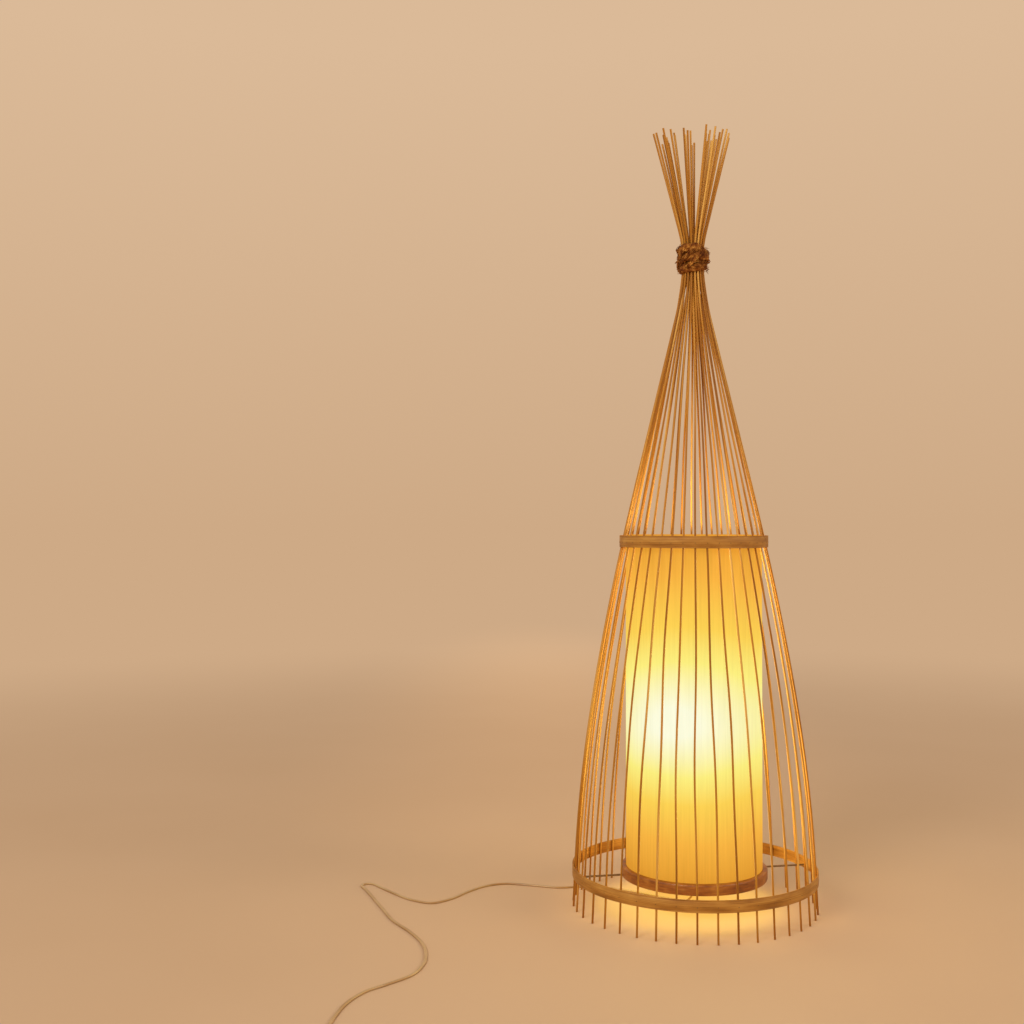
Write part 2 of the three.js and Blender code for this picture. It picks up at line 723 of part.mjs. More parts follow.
// Plug: a flat tapered body with two round pins
function addPlug(rearX) {
  const nose = plugWidth / 2 - plugNoseInset;
  const outline = new THREE.Shape([
    new THREE.Vector2(0, -plugTailWidth / 2),
    new THREE.Vector2(plugTailLength, -plugWidth / 2),
    new THREE.Vector2(plugLength - plugNoseInset, -plugWidth / 2),
    new THREE.Vector2(plugLength, -nose),
    new THREE.Vector2(plugLength, nose),
    new THREE.Vector2(plugLength - plugNoseInset, plugWidth / 2),
    new THREE.Vector2(plugTailLength, plugWidth / 2),
    new THREE.Vector2(0, plugTailWidth / 2),
  ]);
  const slab = new THREE.ExtrudeGeometry(outline, { depth: plugThickness, bevelEnabled: false });
  let plug = solidOf(slab);
  for (const side of [-1, 1]) {
    const pin = new THREE.CylinderGeometry(pinRadius, pinRadius, pinLength + pinRoot, pinSides)
      .rotateZ(Math.PI / 2)
      .translate(plugLength + (pinLength - pinRoot) / 2, side * pinSpacing / 2, plugThickness / 2);
    plug = plug.add(solidOf(pin));
  }
  addPiece('plug', geometryOf(plug).translate(rearX, switchY, 0), 'fitting');
}

addSticks();
addHoops();
addTie();
addShade();
addPiece('support_rod', rodGeometry(supportRodRadius, supportRodLength), 'wire');
addBatten();
addStem();
addLampholder();
addBulb();
addLead();
addSwitch();
addCoil();

export default lamp;
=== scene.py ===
import math
import random

import bmesh
import bpy
from mathutils import Matrix, Vector, noise
from mathutils.geometry import interpolate_bezier


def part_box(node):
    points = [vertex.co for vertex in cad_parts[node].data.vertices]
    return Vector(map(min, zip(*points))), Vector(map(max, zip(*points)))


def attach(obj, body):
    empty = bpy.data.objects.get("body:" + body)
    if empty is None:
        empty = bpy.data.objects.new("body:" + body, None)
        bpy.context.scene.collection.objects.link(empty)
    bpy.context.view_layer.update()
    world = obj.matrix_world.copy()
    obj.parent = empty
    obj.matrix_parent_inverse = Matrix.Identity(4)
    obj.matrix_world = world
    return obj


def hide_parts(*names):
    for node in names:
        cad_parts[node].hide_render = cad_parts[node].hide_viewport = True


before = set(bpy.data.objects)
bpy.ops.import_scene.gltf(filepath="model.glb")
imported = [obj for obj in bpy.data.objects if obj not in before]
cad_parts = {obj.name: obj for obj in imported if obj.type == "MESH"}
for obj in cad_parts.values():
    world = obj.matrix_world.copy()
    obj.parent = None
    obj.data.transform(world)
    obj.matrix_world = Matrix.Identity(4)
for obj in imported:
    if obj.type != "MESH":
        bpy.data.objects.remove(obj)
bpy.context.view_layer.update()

# Sizes are in metres, as the frame is. MM turns the lamp maker's millimetres into them.
MM = 0.001
UP = Vector((0, 0, 1))

# Camera: where the photograph was taken from
CAMERA_PLACE = (-0.27881, -1.91257, 0.58085)
CAMERA_PITCH = math.radians(90.6303)
CAMERA_LENS, CAMERA_SENSOR, CAMERA_NEAR = 43.71, 36, 0.01

# Sticks
STICK_COUNT = 40
STICK_RADIUS = 1.5 * MM
FIRST_TURN = math.radians(2.2)
FOOT_RADIUS, FOOT_REACH, FOOT_LEAN = 184.9 * MM, 68 * MM, 0.077
SHOULDER_RADIUS, SHOULDER_HEIGHT, BELLY_REACH = 89 * MM, 640 * MM, 400 * MM
GATHER_RADIUS, GATHER_HEIGHT = 23 * MM, 915 * MM
TIE_BOTTOM, TIE_TOP = 969 * MM, 1013 * MM
TIP_HEIGHT, TIP_SWAY, TIP_DROP, TIP_SLANT = 1190 * MM, 3 * MM, 18 * MM, 6 * MM
# Layers of sticks: their radius in the tie and at the tips, and how far their tips stay below the highest
OUTER = (15.2 * MM, 59 * MM, 3 * MM)
MIDDLE = (10 * MM, 40 * MM, 1 * MM)
INNER = (6 * MM, 20 * MM, 0)
LAYERS = (OUTER, MIDDLE, OUTER, INNER)
SWAYS = (0.2, -0.8, 0.6, -0.3, 1, -0.6, 0.1, 0.8, -1)
DROPS = (0, 0.25, 0.1, 0.45, 0.2, 1, 0.05)
# Clumps of tips: where each starts and ends across the head, before and after the tips are drawn together
CLUMP_TURN = math.radians(8.3)
CLUMPS = ((-1.05, -0.3, -1.06, -0.46), (-0.3, 0.17, -0.28, 0.08), (0.17, 1.05, 0.33, 0.98))
CONE_SLOPE = (SHOULDER_RADIUS - GATHER_RADIUS) / (GATHER_HEIGHT - SHOULDER_HEIGHT)
STICK_STEP, LOWER_STRAY, UPPER_STRAY = 11 * MM, 2.4 * MM, 1.5 * MM

# Hoops, shade and base
HOOP_THICKNESS, HOOP_HEIGHT, HOOP_CORNER, HOOP_WARP = 1.5 * MM, 18 * MM, 0.45 * MM, 0.35 * MM
LOWER_HOOP, UPPER_HOOP = 44 * MM, 548 * MM
GROOVE_INSET, GROOVE_HALF, GROOVE_DEPTH = 1.8 * MM, 0.5 * MM, 0.3 * MM
BRAD_RADIUS, BRAD_RISE = 0.8 * MM, 0.42 * HOOP_HEIGHT
SHADE_WALL, SHADE_ROWS, LAP_REACH, LAP_LIFT = 0.8 * MM, 12, 6 * MM, 0.35 * MM
RING_WIDTH, RING_CORNER, WIRE_RADIUS = 11 * MM, 2.2 * MM, 1.25 * MM
ROD_RADIUS, ROD_HEADING, NUT_RADIUS = 1.5 * MM, math.radians(11), 8.1 * MM
FIT_GAP, END_GAP = 0.3 * MM, 0.2 * MM

# Tie, in millimetres, with heights from its bottom
TIE_SEED, TIE_TWIST, FIBRE_COUNT, FIBRE_FOOT = 21, 44, 170, 4.4
# Rounds: height, how tall, how far they tilt, where they start, how far out and how far to the right they lie
TIE_ROUNDS = ((8.5, 11, 3, 0.4, 1.8, -0.4), (21.5, 11.5, -3, 2.2, 2.9, 1.6), (34, 11, 2.8, 4.1, 2.8, -1.6))
# Crossing cords: where they start, at what height, where they end, and at what height
TIE_CROSSINGS = (
    (-0.75, 6, 0.9, 35), (1.1, 34, 2.5, 9), (2.1, 6, 3.7, 36), (3.3, 35, 4.9, 7), (4.3, 6, 5.6, 34),
    (0.2, 34, -1.3, 14),
)
# Knots and torn ends: where they start, at what height, how far round and up they run, how thick, how far out
TIE_ENDS = (
    (-1.75, 34, 0.32, 3, 6, 8.6), (-1.25, 37, -0.2, -3, 3, 9.6), (-1.2, 19, -0.5, -2, 3, 10.5),
    (-1.7, 15, 0.25, 3, 2.6, 9), (-0.95, 7, -0.35, -6, 3.6, 6), (1.25, 17, 0.3, 2, 6.5, 9),
    (1.75, 31, -0.3, -1, 4, 8.6), (1.3, 30, 0.3, 3, 2.6, 9.6), (0.3, 32, 0.35, 4, 5, 6.4),
    (-0.5, 32, -0.35, 4, 5.4, 6.4), (0.1, 8, 0.35, -4, 4.6, 6.4), (2.4, 32, 0.4, 4, 4.6, 8),
    (3.5, 10, 0.35, -4, 4.4, 8), (4.5, 26, -0.4, 3, 4.6, 9), (2.9, 21, 0.4, 1, 3, 9),
)

# Stem, lampholder and bulb, in millimetres
THREAD_RADIUS, THREAD_PITCH, THREAD_DEPTH, STEM_BORE = 5, 1, 0.35, 3.6
STEM_BOTTOM, STEM_TOP = 44.5, 178
COLLAR_BOTTOM, COLLAR_TOP, COLLAR_RADIUS = 58.1, 61.1, 8
GRIP_BASE, HOLDER_BASE, INSERT_BASE, CAP_BASE, NECK_BASE = 30.2, 164, 188.3, 193.6, 221.9
NECK_RADIUS, GLOBE_RADIUS, GLOBE_RISE, GLASS_WALL = 12.9, 30, 50, 1.2
GLOBE_START = math.radians(-32)
# The neck's line: shares of its widening and of its height
NECK_SHARES = ((0, 0), (0.04, 0.16), (0.16, 0.32), (0.4, 0.52), (0.66, 0.68), (0.88, 0.84))

# Switch and plug
SWITCH_LENGTH, SWITCH_WIDTH, SWITCH_HEIGHT = 60 * MM, 25 * MM, 15 * MM
SWITCH_CORNER, SWITCH_EDGE, SEAM_HEIGHT = 7 * MM, 1.8 * MM, 7.2 * MM
POCKET_LENGTH, POCKET_WIDTH, POCKET_DEPTH = 22.6 * MM, 12 * MM, 7 * MM
SCREW_REACH, WELL_RADIUS, WELL_DEPTH = 21 * MM, 2.6 * MM, 1.2 * MM
PIVOT_HEIGHT, ROCKER_TILT, ROCKER_WIDTH = 11.5 * MM, math.radians(8), 11.2 * MM
PLUG_HEIGHT, PLUG_EDGE, GROOVE_ROWS, PIN_ASIDE = 14 * MM, 2.4 * MM, 4, 9.3 * MM

# Cord
FLEX_WIDTH, FLEX_THICKNESS = 5 * MM, 2.6 * MM
FLEX_REST = 1.35 * MM
SWITCH_PLACE = Vector((-398 * MM, -550 * MM, 0))
SWITCH_ENTRY = 5 * MM
LEAD_ROUTE = [
    (0, 0, 29.9), (0, 0, 25.6), (-2.6, 2, 13.5), (-9.8, 7.7, 4.7), (-21, 16, 1.35), (-60, 46, 1.35),
    (-110, 77, 1.35), (-161.2, 90.5, 1.35), (-205, 86, 1.35), (-250, 99, 1.35), (-290, 107, 1.35),
    (-320, 95, 1.35), (-348, 64, 1.35), (-374, 25, 1.35), (-402, 4, 1.35), (-434, 20, 1.35),
    (-464, 53.5, 1.35), (-491, 89.2, 1.35), (-501.6, 103.3, 1.35), (-511, 107.4, 1.35), (-518.5, 103.6, 1.35),
    (-520.2, 94.5, 1.35), (-512, 75.5, 1.35), (-478, -16, 1.35), (-453, -82, 1.35), (-425, -131, 1.35),
    (-405, -176, 1.35), (-396, -218, 1.35), (-396, -262, 1.35), (-408, -302, 1.35), (-436, -334, 1.35),
    (-461, -359, 1.35), (-478, -392, 1.35), (-487, -430, 1.35), (-491, -470, 1.35), (-488, -508, 1.35),
    (-474, -536, 1.6), (-453, -548, 3.4), (-437, -550, 4.9), (-428.3, -550, 5),
]
COIL_TURNS, COIL_PITCH, COIL_LAYER, COIL_RADIUS, COIL_RUN = 6, 5.8 * MM, 3.3 * MM, 37.4 * MM, 42 * MM

# Light
STUDIO_TINT, STUDIO_LIGHT = (1.0, 0.965, 0.92), 0.55
HORIZON, ZENITH = 0xCEAA86, 0xDBBA98
FLOOR_RADIUS, FLOOR_FADE_START, FLOOR_FADE_END = 30, 0.7, 4.2
HALO_TINT, HALO_SCALE, HALO_PLACE, HALO_REACH = (0.11, 0.054, 0.018), (1.3, 0.3, 1), (-0.13, 0.66, 0), 1.1
PAPER_BRIGHT, PAPER_REACH, PAPER_TURN = 0.286, 0.51, math.radians(24)
# Discs of light: name, place, power, tint, size, and the point that they face
DISCS = (
    ("key_lamp", (-2.6, -3.6, 3.6), 120, STUDIO_TINT, 2.4, (0, 0, 0.5)),
    ("fill_lamp", (3.4, -1.6, 2.4), 42, STUDIO_TINT, 2.2, (0, 0, 0.5)),
    # The lamp's own light, as the open ends of the shade give it off
    ("glow_down", (-0.008, 0, 0.025), 0.155, (1.0, 0.98, 0.2), 0.28, (-0.008, 0, 0)),
    ("glow_under", (-0.015, 0, 0.035), 0.07, (1.0, 0.9, 0.5), 0.38, (-0.015, 0, 0)),
    ("glow_up", (0, 0, 0.572), 0.4, (1.0, 0.86, 0.5), 0.18, (0, 0, 1)),
)
# The light of the paper itself: upright strips round the shade
GLOW_COUNT, GLOW_RADIUS, GLOW_HEIGHT, GLOW_TINT = 8, 0.1065, 0.315, (1.0, 0.88, 0.4)
GLOW_WIDE, GLOW_TALL, GLOW_SPREAD = 0.08, 0.5, math.radians(110)


# Shader sums

class Value:
    """A socket of a node graph. Sums on it add Math nodes."""

    def __init__(self, graph, socket):
        self.graph = graph
        self.socket = socket

    def sum(self, operation, first, second):
        return self.graph.node("ShaderNodeMath", {"operation": operation}, {0: first, 1: second})

    def __add__(self, other):
        return self.sum("ADD", self, other)

    def __radd__(self, other):
        return self.sum("ADD", other, self)

    def __sub__(self, other):
        return self.sum("SUBTRACT", self, other)

    def __rsub__(self, other):
        return self.sum("SUBTRACT", other, self)

    def __mul__(self, other):
        return self.sum("MULTIPLY", self, other)

    def __rmul__(self, other):
        return self.sum("MULTIPLY", other, self)

    def __truediv__(self, other):
        return self.sum("DIVIDE", self, other)

    def __rtruediv__(self, other):
        return self.sum("DIVIDE", other, self)


class Graph:
    """The nodes of a material or of the world."""

    def __init__(self, owner):
        owner.use_nodes = True
        self.nodes = owner.node_tree.nodes
        self.links = owner.node_tree.links

    def join(self, socket, value):
        if isinstance(value, Value):
            self.links.new(value.socket, socket)
        elif isinstance(value, tuple) and len(value) == 3 and socket.type == "RGBA":
            socket.default_value = (*value, 1)
        else:
            socket.default_value = value

    def node(self, kind, settings=None, inputs=None, output=0):
        """Adds a node, gives it its settings and then its inputs, and returns one of its outputs."""
        made = self.nodes.new(kind)
        for name, setting in (settings or {}).items():
            if name == "stops":
                for index, (place, shade) in enumerate(setting):
                    ramp = made.color_ramp.elements
                    stop = ramp[index] if index < 2 else ramp.new(place)
                    stop.position = place
                    stop.color = (*shade, 1)
            else:
                setattr(made, name, setting)
        for name, value in (inputs or {}).items():
            self.join(made.inputs[name], value)
        return Value(self, made.outputs[output])

    def spread(self, value, low, high, new_low=0.0, new_high=1.0):
        sockets = {"Value": value, "From Min": low, "From Max": high, "To Min": new_low, "To Max": new_high}
        return self.node("ShaderNodeMapRange", {}, sockets)

    def mix(self, share, first, second):
        return self.node("ShaderNodeMix", {"data_type": "RGBA"}, {0: share, 6: first, 7: second}, output=2)


class Finish(Graph):
    """A material and its main shader."""

    def __init__(self, name):
        self.material = bpy.data.materials.new(name)
        super().__init__(self.material)
        self.shader = self.nodes["Principled BSDF"]

    def surface(self, **inputs):
        """Sets the main shader's sockets. An underscore in a name stands for a space."""
        for name, value in inputs.items():
            self.join(self.shader.inputs[name.replace("_", " ")], value)

    def attribute(self, name):
        return self.node("ShaderNodeAttribute", {"attribute_name": name}, output="Fac")

    def height(self):
        place = self.node("ShaderNodeTexCoord", output="Object")
        return self.node("ShaderNodeSeparateXYZ", {}, {"Vector": place}, output="Z")

    def coordinates(self, scale=(1, 1, 1), turn=(0, 0, 0)):
        place = self.node("ShaderNodeTexCoord", output="Object")
        return self.node("ShaderNodeMapping", {}, {"Vector": place, "Scale": scale, "Rotation": turn})

    def noise(self, where, scale, detail=3.0, roughness=0.5):
        sockets = {"Vector": where, "Scale": scale, "Detail": detail, "Roughness": roughness}
        return self.node("ShaderNodeTexNoise", {}, sockets)

    def ramp(self, value, stops):
        return self.node("ShaderNodeValToRGB", {"stops": stops}, {"Fac": value})

    def bump(self, height, distance, strength=1.0):
        sockets = {"Height": height, "Distance": distance, "Strength": strength}
        self.surface(Normal=self.node("ShaderNodeBump", {}, sockets))


def colour(code):
    """A screen colour such as 0xc08040 as the linear numbers that a shader takes."""
    shares = [((code >> shift) & 255) / 255 for shift in (16, 8, 0)]
    return tuple(s / 12.92 if s <= 0.04045 else ((s + 0.055) / 1.055) ** 2.4 for s in shares)


def cane_finish():
    """Peeled cane: streaks along each stick, slow changes of tone, and painted shade that darkens the feet
    near the floor.
    """
    finish = Finish("peeled_cane")
    along, around = finish.attribute("along"), finish.attribute("around")
    fine = finish.node("ShaderNodeCombineXYZ", {}, {"X": around * 1.8, "Y": along * 2.5, "Z": 0.0})
    slow = finish.node("ShaderNodeCombineXYZ", {}, {"X": around * 0.6, "Y": along * 3.5, "Z": 4.0})
    streaks = finish.noise(fine, 1.0, 1.5)
    tone = finish.noise(slow, 1.0, 1.0)
    stops = [(0.3, colour(0x7E4606)), (0.7, colour(0xE8B45A)), (0.5, colour(0xBC7C20))]
    tinted = finish.ramp(streaks * 0.35 + tone * 0.65, stops)
    # Painted shade: each stick's colour darkens towards the floor, from a little above the lower hoop down to
    # the foot
    painted_foot_shade = finish.spread(finish.height(), 0.0, LOWER_HOOP * 1.2, 0.75, 0.0)
    finish.surface(
        Base_Color=finish.mix(painted_foot_shade, tinted, colour(0x8E5008)),
        Roughness=finish.spread(streaks, 0.3, 0.7, 0.54, 0.64),
        Specular_IOR_Level=0.25,
    )
    finish.bump(streaks, 0.0001, 0.25)
    return finish


def bark_finish():
    """Rough bark: fibres along each strand, over darker and lighter blotches."""
    finish = Finish("bark_fibre")
    along, around = finish.attribute("along"), finish.attribute("around")
    where = finish.node("ShaderNodeCombineXYZ", {}, {"X": along * 45.0, "Y": around * 9.0, "Z": 0.0})
    fibres = finish.noise(where, 2.2, 5.0, 0.65)
    blotches = finish.noise(finish.coordinates(), 130.0, 3.0)
    stops = [(0.39, colour(0x562606)), (0.63, colour(0xCC8E3E)), (0.51, colour(0x905216))]
    finish.surface(
        Base_Color=finish.ramp(fibres * 0.45 + blotches * 0.55, stops),
        Roughness=finish.spread(fibres, 0.3, 0.7, 0.78, 0.95),
        Specular_IOR_Level=0.2,
    )
    finish.bump(fibres, 0.0008, 0.9)
    return finish


def paper_finish():
    """Lit paper: its glow runs from near white beside the bulb to orange at both ends."""
    finish = Finish("lit_paper")
    turned = finish.coordinates(turn=(0, 0, PAPER_TURN))
    across = finish.node("ShaderNodeSeparateXYZ", {}, {"Vector": turned}, output="X")
    clouds = finish.noise(finish.coordinates((7, 7, 5)), 1.0, 2.0)
    fibres = finish.noise(finish.coordinates((330, 330, 9)), 1.0, 4.0, 0.6)
    rise = (finish.height() - PAPER_BRIGHT) / PAPER_REACH + (clouds - 0.5) * 0.06
    far = finish.node("ShaderNodeMath", {"operation": "MAXIMUM"}, {0: rise, 1: rise * -1.27})
    reach = finish.node("ShaderNodeMath", {"operation": "SQRT"}, {0: far * far + across * across * 2.0})
    stops = [
        (0.05, colour(0xE2F2DC)), (0.57, colour(0xC48424)),
        (0.19, colour(0xE2E47C)), (0.29, colour(0xE2C44E)), (0.43, colour(0xDCA23A)),
    ]
    glow = finish.ramp(reach, stops)
    fibre_shade = finish.spread(fibres, 0.3, 0.7, 0.93, 1.03)
    shaded = finish.node("ShaderNodeVectorMath", {"operation": "SCALE"}, {0: glow, "Scale": fibre_shade})
    finish.surface(
        Base_Color=finish.mix(fibres, colour(0x82601E), colour(0x8E6C26)),
        Roughness=0.85,
        Specular_IOR_Level=0.15,
        Emission_Color=shaded,
        Emission_Strength=1.0,
    )
    finish.bump(fibres, 0.0002, 0.35)
    return finish


def ring_finish():
    """Red-brown stain over wood, with a faint grain."""
    finish = Finish("stained_ring")
    grain = finish.noise(finish.coordinates((60, 60, 420)), 1.0, 4.0, 0.6)
    patches = finish.noise(finish.coordinates((28, 28, 28)), 1.0, 3.0)
    stops = [(0.34, colour(0x6C3406)), (0.68, colour(0xC0802C)), (0.5, colour(0x9C5A14))]
    finish.surface(
        Base_Color=finish.ramp(grain * 0.4 + patches * 0.6, stops),
        Roughness=finish.spread(grain, 0.3, 0.7, 0.4, 0.55),
        Coat_Weight=0.15,
    )
    finish.bump(grain, 0.0002, 0.5)
    return finish


def strip_finish():
    """Split cane strip: its grain runs round the hoop."""
    finish = Finish("split_strip")
    grain = finish.noise(finish.coordinates((9, 9, 900)), 1.0, 4.0, 0.6)
    patches = finish.noise(finish.coordinates((22, 22, 90)), 1.0, 3.0)
    stops = [(0.32, colour(0x84500E)), (0.7, colour(0xD29A44)), (0.5, colour(0xAE7428))]
    finish.surface(
        Base_Color=finish.ramp(grain * 0.5 + patches * 0.5, stops),
        Roughness=finish.spread(grain, 0.3, 0.7, 0.5, 0.68),
        Specular_IOR_Level=0.35,
    )
    finish.bump(grain, 0.0002, 0.5)
    return finish


def board_finish():
    """Bare wood: its grain runs the length of the batten."""
    finish = Finish("bare_wood")
    grain = finish.noise(finish.coordinates((260, 9, 260), (0, 0, -ROD_HEADING)), 1.0, 4.0, 0.6)
    stops = [(0.3, colour(0xA57B46)), (0.72, colour(0xDDBB85)), (0.5, colour(0xC59C64))]
    finish.surface(Base_Color=finish.ramp(grain, stops), Roughness=finish.spread(grain, 0.3, 0.7, 0.6, 0.75))
    finish.bump(grain, 0.0002, 0.4)
    return finish


def metal_finish(name, code, metallic=1.0, roughness=0.35):
    """Metal that handling has dulled in patches."""
    finish = Finish(name)
    wear = finish.noise(finish.coordinates((160, 160, 160)), 1.0, 4.0)
    dull = tuple(share * 0.72 for share in colour(code))
    finish.surface(
        Base_Color=finish.mix(finish.spread(wear, 0.35, 0.65), colour(code), dull),
        Metallic=metallic,
        Roughness=finish.spread(wear, 0.3, 0.7, roughness - 0.07, roughness + 0.1),
    )
    return finish


def moulded_finish(name, code):
    """Moulded plastic: a fine orange-peel surface and a faint unevenness of tone."""
    finish = Finish(name)
    peel = finish.noise(finish.coordinates((900, 900, 900)), 1.0, 2.0)
    tone = finish.noise(finish.coordinates((40, 40, 40)), 1.0, 2.0)
    darker = tuple(share * 0.9 for share in colour(code))
    finish.surface(
        Base_Color=finish.mix(finish.spread(tone, 0.3, 0.7), darker, colour(code)),
        Roughness=finish.spread(tone, 0.3, 0.7, 0.38, 0.46),
    )
    finish.bump(peel, 0.00008, 0.3)
    return finish


def flex_finish():
    """Clear brown-gold flex: faint bands of the twisted cores show through a glossy skin."""
    finish = Finish("gold_flex")
    along, around = finish.attribute("along"), finish.attribute("around")
    lay = finish.node("ShaderNodeMath", {"operation": "SINE"}, {0: along * 1400.0 + around * (4 * math.pi)})
    slow = finish.noise(finish.coordinates((14, 14, 14)), 1.0, 2.0)
    tint = finish.mix(finish.spread(slow, 0.35, 0.65), colour(0xAA7C44), colour(0xC8A068))
    finish.surface(
        Base_Color=finish.mix(finish.spread(lay, -1.0, 1.0, 0.0, 0.3), tint, colour(0x8A5A28)),
        Roughness=0.28,
        Coat_Weight=0.4,
    )
    finish.bump(lay, 0.00005, 0.3)
    return finish


def glass_finish():
    """Frosted glass with the light on: its glow is fullest at the globe and fades down the neck."""
    finish = Finish("frosted_bulb")
    speckle = finish.noise(finish.coordinates((500, 500, 500)), 1.0, 2.0)
    low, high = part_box("bulb_globe")
    stops = [(0.0, colour(0xB06A20)), (0.55, colour(0xE8C890)), (0.25, colour(0xD69A4C))]
    finish.surface(
        Base_Color=finish.mix(speckle, colour(0x7A6A50), colour(0x8C7C60)),
        Roughness=0.4,
        Emission_Color=finish.ramp(finish.spread(finish.height(), low.z, high.z), stops),
        Emission_Strength=1.1,
    )
    return finish


# Making pieces

def add_object(name, data):
    made = bpy.data.objects.new(name, data)
    bpy.context.scene.collection.objects.link(made)
    return made


def add_piece(name, shape, finish, replaced=(), body="root", crease=32.0):
    """Makes a bmesh a finished piece that rides on a body, in the place of its CAD nodes."""
    bmesh.ops.recalc_face_normals(shape, faces=shape.faces)
    mesh = bpy.data.meshes.new(name)
    shape.to_mesh(mesh)
    shape.free()
    mesh.materials.append(finish.material)
    mesh.shade_smooth()
    mesh.set_sharp_from_angle(angle=math.radians(crease))
    made = add_object(name, mesh)
    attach(made, body)
    if replaced:
        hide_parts(*replaced)
    return made


def frames_along(points, first_side=None, level=False, sizes=None):
    """A frame for each point of a line: Z runs along it, and X stays level or turns as little as it can."""
    frames = []
    side = first_side
    for index, point in enumerate(points):
        way = (points[min(index + 1, len(points) - 1)] - points[max(index - 1, 0)]).normalized()
        if level and math.hypot(way.x, way.y) > 0.05:
            side = UP.cross(way)
        elif side is None:
            side = way.orthogonal()
        side = (side - way * side.dot(way)).normalized()
        turned = Matrix((side, way.cross(side), way)).transposed().to_4x4()
        size = sizes[index] if sizes else 1.0
        frames.append(Matrix.Translation(point) @ turned @ Matrix.Diagonal((size, size, 1, 1)))
    return frames


def vertices_of(parts):
    return [part for part in parts if isinstance(part, bmesh.types.BMVert)]


def sweep(shape, section, frames, start=0.0):
    """Extrudes a closed section through the frames. Its vertices learn how far along and round they are."""
    along = shape.verts.layers.float.get("along") or shape.verts.layers.float.new("along")
    around = shape.verts.layers.float.get("around") or shape.verts.layers.float.new("around")
    loop = [shape.verts.new(frames[0] @ Vector((x, y, 0))) for x, y in section]
    edges = [shape.edges.new(pair) for pair in zip(loop, loop[1:] + loop[:1])]
    for index, vert in enumerate(loop):
        vert[along] = start
        vert[around] = abs(2.0 * index / len(loop) - 1.0)
    bmesh.ops.contextual_create(shape, geom=edges)
    run = start
    for before, after in zip(frames, frames[1:]):
        run += (after.translation - before.translation).length
        grown = bmesh.ops.extrude_edge_only(shape, edges=edges)["geom"]
        loop = vertices_of(grown)
        new = set(loop)
        edges = [part for part in grown if isinstance(part, bmesh.types.BMEdge)]
        edges = [edge for edge in edges if new.issuperset(edge.verts)]
        bmesh.ops.transform(shape, matrix=after @ before.inverted(), verts=loop)
        for vert in loop:
            vert[along] = run
    bmesh.ops.contextual_create(shape, geom=edges)


def join_to(shape, part):
    """Adds a part to a shape. Many small sweeps are much quicker one by one than in one large bmesh."""
    mesh = bpy.data.meshes.new("part")
    part.to_mesh(mesh)
    part.free()
    shape.from_mesh(mesh)
    bpy.data.meshes.remove(mesh)


def round_section(radius, sides, second=None):
    turns = [2 * math.pi * (index + 0.5) / sides for index in range(sides)]
    return [(radius * math.cos(turn), (second or radius) * math.sin(turn)) for turn in turns]


def spun(profile, steps, closed=False):
    """Spins a profile of (radius, height) places once round the Z axis."""
    shape = bmesh.new()
    places = [shape.verts.new((radius, 0, height)) for radius, height in profile]
    pairs = list(zip(places, places[1:]))
    if closed:
        pairs.append((places[-1], places[0]))
    edges = [shape.edges.new(pair) for pair in pairs]
    bmesh.ops.spin(
        shape, geom=places + edges, cent=(0, 0, 0), axis=UP, angle=2 * math.pi, steps=steps, use_merge=True,
    )
    bmesh.ops.remove_doubles(shape, verts=shape.verts, dist=0.005 * MM)
    return shape


def rounded_band(inner, outer, bottom, top, corner):
    """The outline of a band with rounded corners."""
    outline = []
    corners = ((outer, bottom, -90), (outer, top, 0), (inner, top, 90), (inner, bottom, 180))
    for radius, height, start in corners:
        inward = -1 if radius == outer else 1
        upward = 1 if height == bottom else -1
        for step in range(4):
            turn = math.radians(start + 30 * step)
            across = radius + inward * corner + corner * math.cos(turn)
            outline.append((across, height + upward * corner + corner * math.sin(turn)))
    return outline


# Places round the lamp: a turn is counted from the front, towards the right

def place_round(radius, height, turn, sway=0.0):
    out = Vector((math.sin(turn), -math.cos(turn), 0))
    along = Vector((math.cos(turn), math.sin(turn), 0))
    return out * radius + along * sway + UP * height


BELLY = interpolate_bezier(
    Vector((SHOULDER_RADIUS, 0, SHOULDER_HEIGHT)),
    Vector((SHOULDER_RADIUS + BELLY_REACH * CONE_SLOPE, 0, SHOULDER_HEIGHT - BELLY_REACH)),
    Vector((FOOT_RADIUS - FOOT_REACH * FOOT_LEAN, 0, FOOT_REACH)),
    Vector((FOOT_RADIUS, 0, 0)),
    30,
)


def soften(points, passes=3):
    """Rounds the corners of a line of close points, with both ends kept."""
    for _ in range(passes):
        inner = [(a + b * 2 + c) / 4 for a, b, c in zip(points, points[1:], points[2:])]
        points = [points[0], *inner, points[-1]]
    return points


def drawn_together(tip):
    """Moves a tip into its clump. The head has three, which face a little to the left of the front."""
    across = Vector((math.cos(CLUMP_TURN), -math.sin(CLUMP_TURN), 0))
    share = tip.dot(across) / OUTER[1]
    start, end, new_start, new_end = next(row for row in CLUMPS if share <= row[1])
    new_share = new_start + (new_end - new_start) * (share - start) / (end - start)
    return tip + across * OUTER[1] * (new_share - share)


def wander(index, height):
    """How far a stick strays sideways between what holds it, because cane is never quite straight."""
    spans = (
        (LOWER_HOOP + HOOP_HEIGHT, UPPER_HOOP, LOWER_STRAY),
        (UPPER_HOOP + HOOP_HEIGHT, GATHER_HEIGHT, UPPER_STRAY),
    )
    for low, high, reach in spans:
        if low < height < high:
            bow = math.sin(math.pi * (height - low) / (high - low))
            return reach * bow * 2 * noise.noise(Vector((index * 7.3, 0.5, height * 4.5)))
    return 0.0


def stick_turn(index):
    return FIRST_TURN + 2 * math.pi * index / STICK_COUNT


